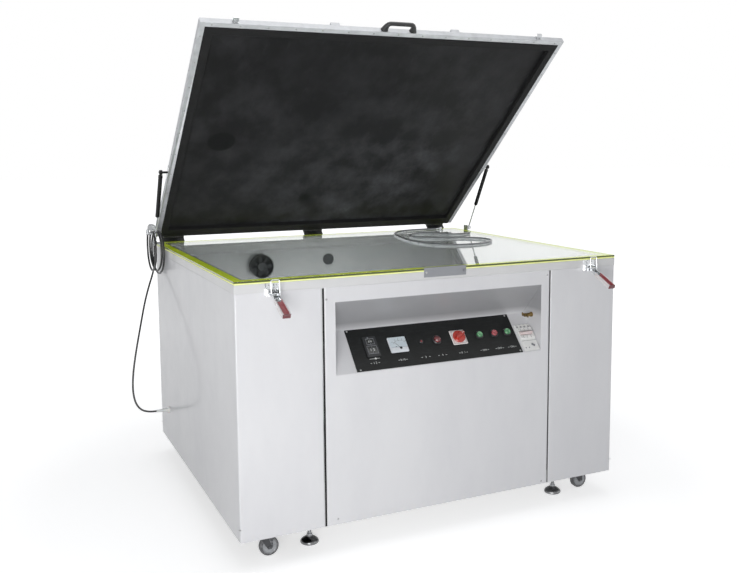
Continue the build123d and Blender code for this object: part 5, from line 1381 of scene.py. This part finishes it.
mottled(
    "steel", (176, 178, 181), 0.4, (158, 160, 162), (196, 198, 202), (0.01, 5.0, 0.6),
    sheen=(0.3, 0.7, 0.32, 0.5), Metallic=0.6,
)
mottled(
    "strut_black", (16, 16, 17), 0.32, (14, 14, 15), (36, 36, 38), (0.002, 3.0), reach=(0.6, 0.8),
    sheen=(0.4, 0.8, 0.28, 0.46), stretch=(1, 1, 0.12), Specular_IOR_Level=0.3,
)
dressed("strut_mounts", "strut_brackets", 0.4, "steel")
for side in ("left", "right"):
    dressed("gas_rod_" + side, "strut_rod_" + side, 0.3, "chrome", "rod_" + side)
    cylinder = "cylinder_" + side
    dressed("gas_" + cylinder, "strut_" + cylinder, 0.8, "strut_black", cylinder)
bracket_x, bracket_y, bracket_z = half_width + 3, 444, 790.0
places = [at(side * bracket_x, bracket_y + k * 10, bracket_z) for side in (-1, 1) for k in (-1, 1)]
facings = [Vector((side, 0, 0)) for side in (-1, 1) for _ in (-1, 1)]
screw_set("strut_screws", places, facings, 6.5, "cabinet")


# ---- Toggle latches -------------------------------------------------------------------------
# At each front corner a plated base with two ears carries a pressed lever. The lever's outer
# half is a scoop dipped in red vinyl, and a wire bail hooks over the catch on the lid. The
# scoop's rims and outside are a near white painted highlight, and its tip a dark red painted shade.

dressed("latch_plates", "latch_bases", 0.4, "chrome")
latch_x = [side * catch_x + k * 11 for side in (-1, 1) for k in (-1, 1)]
latch_rows, base_thickness = (785.5, 810.5), 2.5
places = [at(x, front_y - base_thickness, z) for x in latch_x for z in latch_rows]
screw_set("latch_rivets", places, front, 5.0, "cabinet")

mottled(
    "red_grip", (176, 92, 96), 0.32, (152, 74, 80), (196, 112, 116), (0.008, 4.0),
    bumps=(0.0003, 0.4, 0.003, 2.0), Coat_Weight=0.5, Coat_Roughness=0.1,
)
# Painted shade: a dark red for the lever's tip. Painted highlight: a near white for its rims and outside.
mottled(
    "grip_end", (96, 34, 40), 0.34, (82, 28, 34), (116, 44, 50), (0.006, 3.0),
    Coat_Weight=0.5, Coat_Roughness=0.1,
)
mottled("grip_shell", (222, 216, 216), 0.26, (206, 198, 198), (234, 230, 230), (0.01, 4.0), Coat_Weight=0.4)

pivot_y, pivot_z = front_y - 14.5, 789.0
lever_turn = spin(23.5, "X") @ spin(180, "Z")
trough = [(-1, -1), (-1, 1), (-0.72, 1), (-0.66, -0.25), (0.66, -0.25), (0.72, 1), (1, 1), (1, -1)]


def scoop(rows_of, closed_tip):
    """A channel-shaped lever: rows give distance, half width, floor and rim heights."""
    stations = []
    for reach, half, floor_z, rim_z in rows_of:
        middle, tall_half = (floor_z + rim_z) / 2, (rim_z - floor_z) / 2
        stations.append([(x * half, reach, middle + z * tall_half) for x, z in trough])
    if closed_tip:
        reach, half, floor_z, rim_z = rows_of[-1]
        corners = [z < 0 and abs(x) > 0.9 for x, z in trough]
        ends = ((0.2, 1.0, floor_z, rim_z), (4.5, 0.8, floor_z + 2.5, rim_z - 1.5))
        for further, narrower, low, high in ends:
            heights = [low if corner else high for corner in corners]
            row = [(x * half * narrower, reach + further, z) for (x, _), z in zip(trough, heights)]
            stations.append(row)
    shape = lofted(stations)
    for face in shape.faces:
        middle = face.calc_center_median()
        inside = abs(middle.x) < 0.8 * rows_of[0][1] and middle.z > rows_of[0][2] + 1.5
        inner = inside and middle.y < rows_of[-1][0]
        beyond = middle.y > rows_of[-1][0] + 1.5
        # Inside is red vinyl; the tip takes the painted shade and the rims and outside the painted
        # highlight.
        face.material_index = (1 if inner else 3 if beyond else 2) if closed_tip else 0
    return shape


steel_rows = [(-6, 10, -3, 5), (6, 10, -3, 5), (20, 10, -3, 5), (44, 9.6, -2.6, 4.6)]
vinyl_rows = [(40, 11.2, -4.6, 6.2), (46, 11.8, -5.2, 7.0), (70, 11.8, -5.4, 7.4)]
vinyl_rows += [(104, 12, -5.4, 7.4), (118, 11.6, -5.2, 7.2)]
lever_finishes = ("chrome", "red_grip", "grip_shell", "grip_end")
for side, sign in (("left", -1), ("right", 1)):
    base = seat(sign * catch_x, pivot_y, pivot_z, lever_turn)
    shape = joined(
        placed(scoop(steel_rows, False), base),
        placed(scoop(vinyl_rows, True), base),
        placed(cuboid((-10, 10), (9.5, 18.5), (3, 10.5), 1.2), base),
    )
    handle, hook = "handle_" + side, "hook_" + side
    lever = piece("latch_lever_" + side, shape, lever_finishes, handle, "latch_" + handle)
    soften = lever.modifiers.new("rounded", "BEVEL")
    soften.width = 0.0012
    soften.segments = 3
    soften.limit_method = "ANGLE"
    soften.angle_limit = math.radians(40)
    lever.modifiers.move(len(lever.modifiers) - 1, 0)
    dressed("latch_bail_" + side, "latch_" + hook, 0.0, "chrome", hook)


# ---- Casters --------------------------------------------------------------------------------
# Four plate casters under the tray, the front pair with swivelling forks: pressed steel in dark
# zinc, and wheels with a moulded grey centre and a black rubber tyre.

worn_paint("fork_steel", (38, 39, 41), (62, 63, 66), (150, 151, 154))
dressed("caster_tops", "caster_plates", 0.4, "fork_steel")
mottled(
    "tyre_rubber", (52, 53, 55), 0.5, (80, 81, 83), (140, 140, 142), (0.008, 6.0, 0.65), reach=(0.4, 0.75),
    sheen=(0.3, 0.7, 0.4, 0.65), bumps=(0.0003, 0.4, 0.008, 6.0, 0.65), Specular_IOR_Level=0.4,
)
mottled(
    "wheel_grey", (112, 114, 117), 0.36, (140, 142, 145), (172, 174, 177), (0.01, 4.0),
    bumps=(0.00008, 0.4, 0.001, 2.0), Coat_Weight=0.2,
)

tyre = mirrored([(21.2, -8.6), (22.6, -9.6), (25, -10), (27.2, -9.2), (28.6, -7), (29, -3)])
hub_profile = [(4.1, -11.1), (7.6, -11.1), (8.6, -10.4), (9, -7.6)]
hub_profile = mirrored(hub_profile + [(11, -6.4), (19, -6.4), (20.4, -8.4), (21.4, -8.8)])
for name in ("front_left", "front_right", "rear_left", "rear_right"):
    centre = stand(middle_of("caster_wheel_" + name), spin(90, "X"))
    shapes = [placed(turned(tyre, 56, loop=True), centre, 1)]
    shapes.append(placed(turned(hub_profile, 40, loop=True), centre))
    for face_turn in (180, 0):
        for spoke in range(6):
            rib = cuboid((9.2, 19.8), (-1.1, 1.1), (5.6, 8.0), 0.4, 1)
            shapes.append(placed(rib, centre @ spin(face_turn, "X") @ spin(60 * spoke, "Z")))
    wheel = "wheel_" + name
    piece(wheel, joined(*shapes), ("wheel_grey", "tyre_rubber"), wheel, "caster_" + wheel)
for side in ("left", "right"):
    fork = "fork_" + side
    dressed("swivel_" + fork, "caster_" + fork, 0.4, "fork_steel", fork)


# ---- Levelling feet -------------------------------------------------------------------------
# A domed pressed-steel foot on a threaded stem at each front corner, screwed up or down through
# a boss in the tray until the table stands level.

mottled(
    "foot_black", (140, 141, 142), 0.24, (118, 119, 120), (160, 161, 162), (0.025, 3.0),
    reach=(0.4, 0.75), sheen=(0.3, 0.7, 0.18, 0.4), Metallic=1.0,
)
dome = [(0, 0), (24.5, 0), (26.8, 1), (28.2, 3), (28.5, 5.4), (27.8, 8), (25.8, 11), (22.6, 14)]
dome += [(18.6, 16.8), (14.6, 19), (11, 20.4), (9, 20.8), (9, 23.6), (8.2, 24), (6.1, 24)]
dome += [(5.2, 24.4), (5.2, 112), (0, 112)]
nut = [(0, 24.2), (9.4, 24.2), (9.8, 25), (9.8, 27.4), (9.4, 28.2), (0, 28.2)]
thread_pitch = 1.75
for side in ("left", "right"):
    foot = "foot_" + side
    base = stand(foot_of(foot))
    thread = ring_set("steel", 48, 5.4, 5.4, thread_pitch, 0.55, 24)
    shapes = [placed(turned(dome, 56), base), from_mesh(thread, base @ shift(0, 0, 25.5), 1)]
    shape = joined(*shapes, placed(turned(nut, 6), base, 1))
    name, body = "levelling_pad_" + side, "levelling_" + foot
    piece(name, shape, ("foot_black", "steel"), body, foot, smooth=35.0)


# ---- Mains lead -----------------------------------------------------------------------------
# A 7 mm round flexible lead of black PVC. It leaves the left cover through a white nylon strain
# relief, hangs out past the rear corner and up to the peg, where the spare length is wound in
# loose loops that end in a moulded grey plug.


def cord_curve(name, points, diameter, finish):
    """One smooth line through free space with a round section."""
    curve = bpy.data.curves.new(name, "CURVE")
    curve.dimensions = "3D"
    line = curve.splines.new("NURBS")
    line.points.add(len(points) - 1)
    for knot, point in zip(line.points, points):
        knot.co = (*point, 1.0)
    line.order_u = 3
    line.use_endpoint_u = True
    line.resolution_u = 8
    curve.bevel_depth = diameter / 2000
    curve.bevel_resolution = 5
    curve.use_fill_caps = True
    curve.materials.append(finishes[finish])
    return in_scene(name, curve)


shader, tree = new_finish("lead_pvc", (26, 26, 27), 0.38, Coat_Weight=0.2, Coat_Roughness=0.2)
drive(
    shader,
    Base_Color=tint(tree, clouds(tree, around(tree), 0.012, 5.0), (14, 14, 15), (28, 28, 29)),
    Roughness=span(tree, clouds(tree, around(tree), 0.02), 0.3, 0.7, 0.32, 0.5),
)
relief(shader, clouds(tree, around(tree), 0.0016, 2.0), 0.0001, 0.4)
mottled(
    "white_nylon", (232, 232, 228), 0.4, (222, 222, 217), (240, 240, 237), (0.006, 4.0),
    Subsurface_Weight=0.1,
)
mottled(
    "plug_grey", (168, 170, 172), 0.35, (156, 158, 160), (182, 184, 186), (0.006, 4.0),
    bumps=(0.00006, 0.4, 0.001, 2.0), Coat_Weight=0.2,
)

lead_diameter = 7.0
gland_y, gland_z, gland_length = 407.0, 207.0, 48.0
outwards = seat(-half_width, gland_y, gland_z, spin(-90, "Y"))
nut = turned([(5, 0), (12, 0), (12, 4.6), (10.6, 6.6), (7, 7), (5, 7)], 6, loop=True)
relief_tube = [(3.6, 5), (6.3, 6), (6.3, 9), (5.2, 20), (4.7, 34)]
relief_tube += [(4.5, gland_length - 1), (4.0, gland_length), (3.6, gland_length)]
ribs = ring_set("white_nylon", 9, 5.6, 4.4, 4.1, 0.95, 28)
shapes = [
    placed(nut, outwards),
    placed(turned(relief_tube, 28, loop=True), outwards),
    from_mesh(ribs, outwards @ shift(0, 0, 11)),
]
gland = piece("strain_relief", joined(*shapes), "white_nylon", "cabinet", "mains_gland")

coil_y, coil_z = 452.0, 880.0
coil_turns, coil_pitch, coil_start_x = 3, 8.0, -664.0
coil_swings = (14.0, 14.2, 1.5, 0.0)
coil_end_lift = 17.5
coil_half_depth, coil_half_height = 68.0, 76.0


def hank(turns, swell=1.0):
    """The spare lead's centreline: up its rear side, over the peg and down inside the strut."""
    angle = 2 * math.pi * turns
    tall_half = coil_half_height + 3.5 * math.sin(1.9 * turns + 0.4)
    deep = coil_half_depth + 2.5 * math.sin(2.3 * turns)
    swing = coil_swings[int(turns)] * (1 - math.cos(angle)) / 2
    rise = coil_end_lift * max(0.0, math.sin(angle)) if turns > coil_turns else 0.0
    return Vector(
        (
            coil_start_x - coil_pitch * turns + swing,
            coil_y + swell * deep * math.cos(angle),
            coil_z - tall_half + swell * tall_half * math.sin(angle) + rise,
        )
    )


def hank_heading(turns):
    step = 1e-4
    return (hank(turns + step) - hank(turns - step)).normalized()


per_turn = 16
swell = 1 / math.cos(math.pi / per_turn)
mouth = (-half_width - gland_length, gland_y, gland_z)
stretch = [
    mouth,
    (-734, 407, 207),
    (-765, 417, 228),
    (-777, 428, 272),
    (-775, 438, 330),
    (-764, 448, 396),
    (-748, 460, 466),
    (-730, 476, 536),
    (-712, 494, 604),
    (-692, 508, 664),
    (-672, 516, 716),
    hank(0) - hank_heading(0) * 47,
    hank(0) - hank_heading(0) * 14,
]
last_turn = coil_turns + 0.25
points = stretch + [hank(i / per_turn, swell) for i in range(int(last_turn * per_turn))]
end_run = lead_diameter
plug_start = hank(last_turn) + hank_heading(last_turn) * end_run
points += [hank(last_turn), plug_start]
lead = cord_curve("mains_cord", [at(*p) for p in points], lead_diameter, "lead_pvc")

plug_turn = hank_heading(last_turn).to_track_quat("Z", "Y").to_matrix().to_4x4()
plug_seat = seat(*plug_start, plug_turn)
sleeve = [(0, 0), (4.6, 0), (5.4, 2), (5.5, 16), (0, 16)]
plug_body = [(0, 13), (8, 13.4), (10.6, 16), (12.4, 21), (13, 27), (12.2, 36), (12.2, 42)]
plug_body += [(13, 46), (13, 52.6), (12, 54), (0, 54)]
pin = [(0, 52), (2.2, 52), (2.2, 69.5), (1.4, 71), (0, 71)]
shapes = [
    placed(turned(sleeve, 24), plug_seat),
    from_mesh(ring_set("plug_grey", 4, 5.4, 5.6, 3.6, 0.7, 24), plug_seat @ shift(0, 0, 2.4)),
    placed(turned(plug_body, 32), plug_seat),
]
pin_spread = plug_seat.to_3x3().inverted() @ Vector((0, 0, 0.007))
for way in (-1, 1):
    shapes.append(placed(turned(pin, 16), plug_seat @ Matrix.Translation(pin_spread * way), 1))
plug = piece("lead_plug", joined(*shapes), ("plug_grey", "chrome"), "cabinet", "mains_plug")
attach(lead, "cabinet")
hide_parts("mains_lead", "mains_coil")


# ---- Vacuum hose ----------------------------------------------------------------------------
# A PVC hose, 8 mm outside, draws the air from under the blanket. It comes out of a low plated
# brass elbow through the glass and lies loose on the bed in its own open loops.

shader, tree = new_finish("hose_pvc", (158, 160, 162), 0.3, Coat_Weight=0.5, Coat_Roughness=0.1)
drive(
    shader,
    Base_Color=tint(tree, clouds(tree, around(tree), 0.05, 3.0), (116, 118, 121), (142, 144, 147)),
    Roughness=span(tree, clouds(tree, around(tree), 0.02), 0.3, 0.7, 0.24, 0.36),
)
hose_diameter = 8.0
elbow_x, elbow_y, elbow_reach = 556.0, 500.0, 23.0
hose_z = bed_top + hose_diameter / 2 + 0.3
hose_mouth = elbow_x - elbow_reach
hose_route = [
    (hose_mouth, elbow_y),
    (475, 500),
    (415, 497),
    (352, 474),
    (300, 420),
    (264, 345),
    (244, 262),
    (228, 172),
    (218, 80),
    (228, -4),
    (262, -68),
    (324, -101),
    (402, -96),
    (470, -62),
    (512, 0),
    (508, 68),
    (462, 120),
    (396, 138),
    (330, 162),
    (288, 216),
    (300, 292),
    (354, 352),
    (414, 350),
    (448, 302),
    (482, 256),
    (528, 246),
    (570, 272),
]
hose = cord_curve("air_hose", [at(x, y, hose_z) for x, y in hose_route], hose_diameter, "hose_pvc")
elbow = dressed("hose_fitting", "hose_elbow", 0.5, "chrome", slot="brass")
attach(hose, "cabinet")
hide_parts("vacuum_hose")
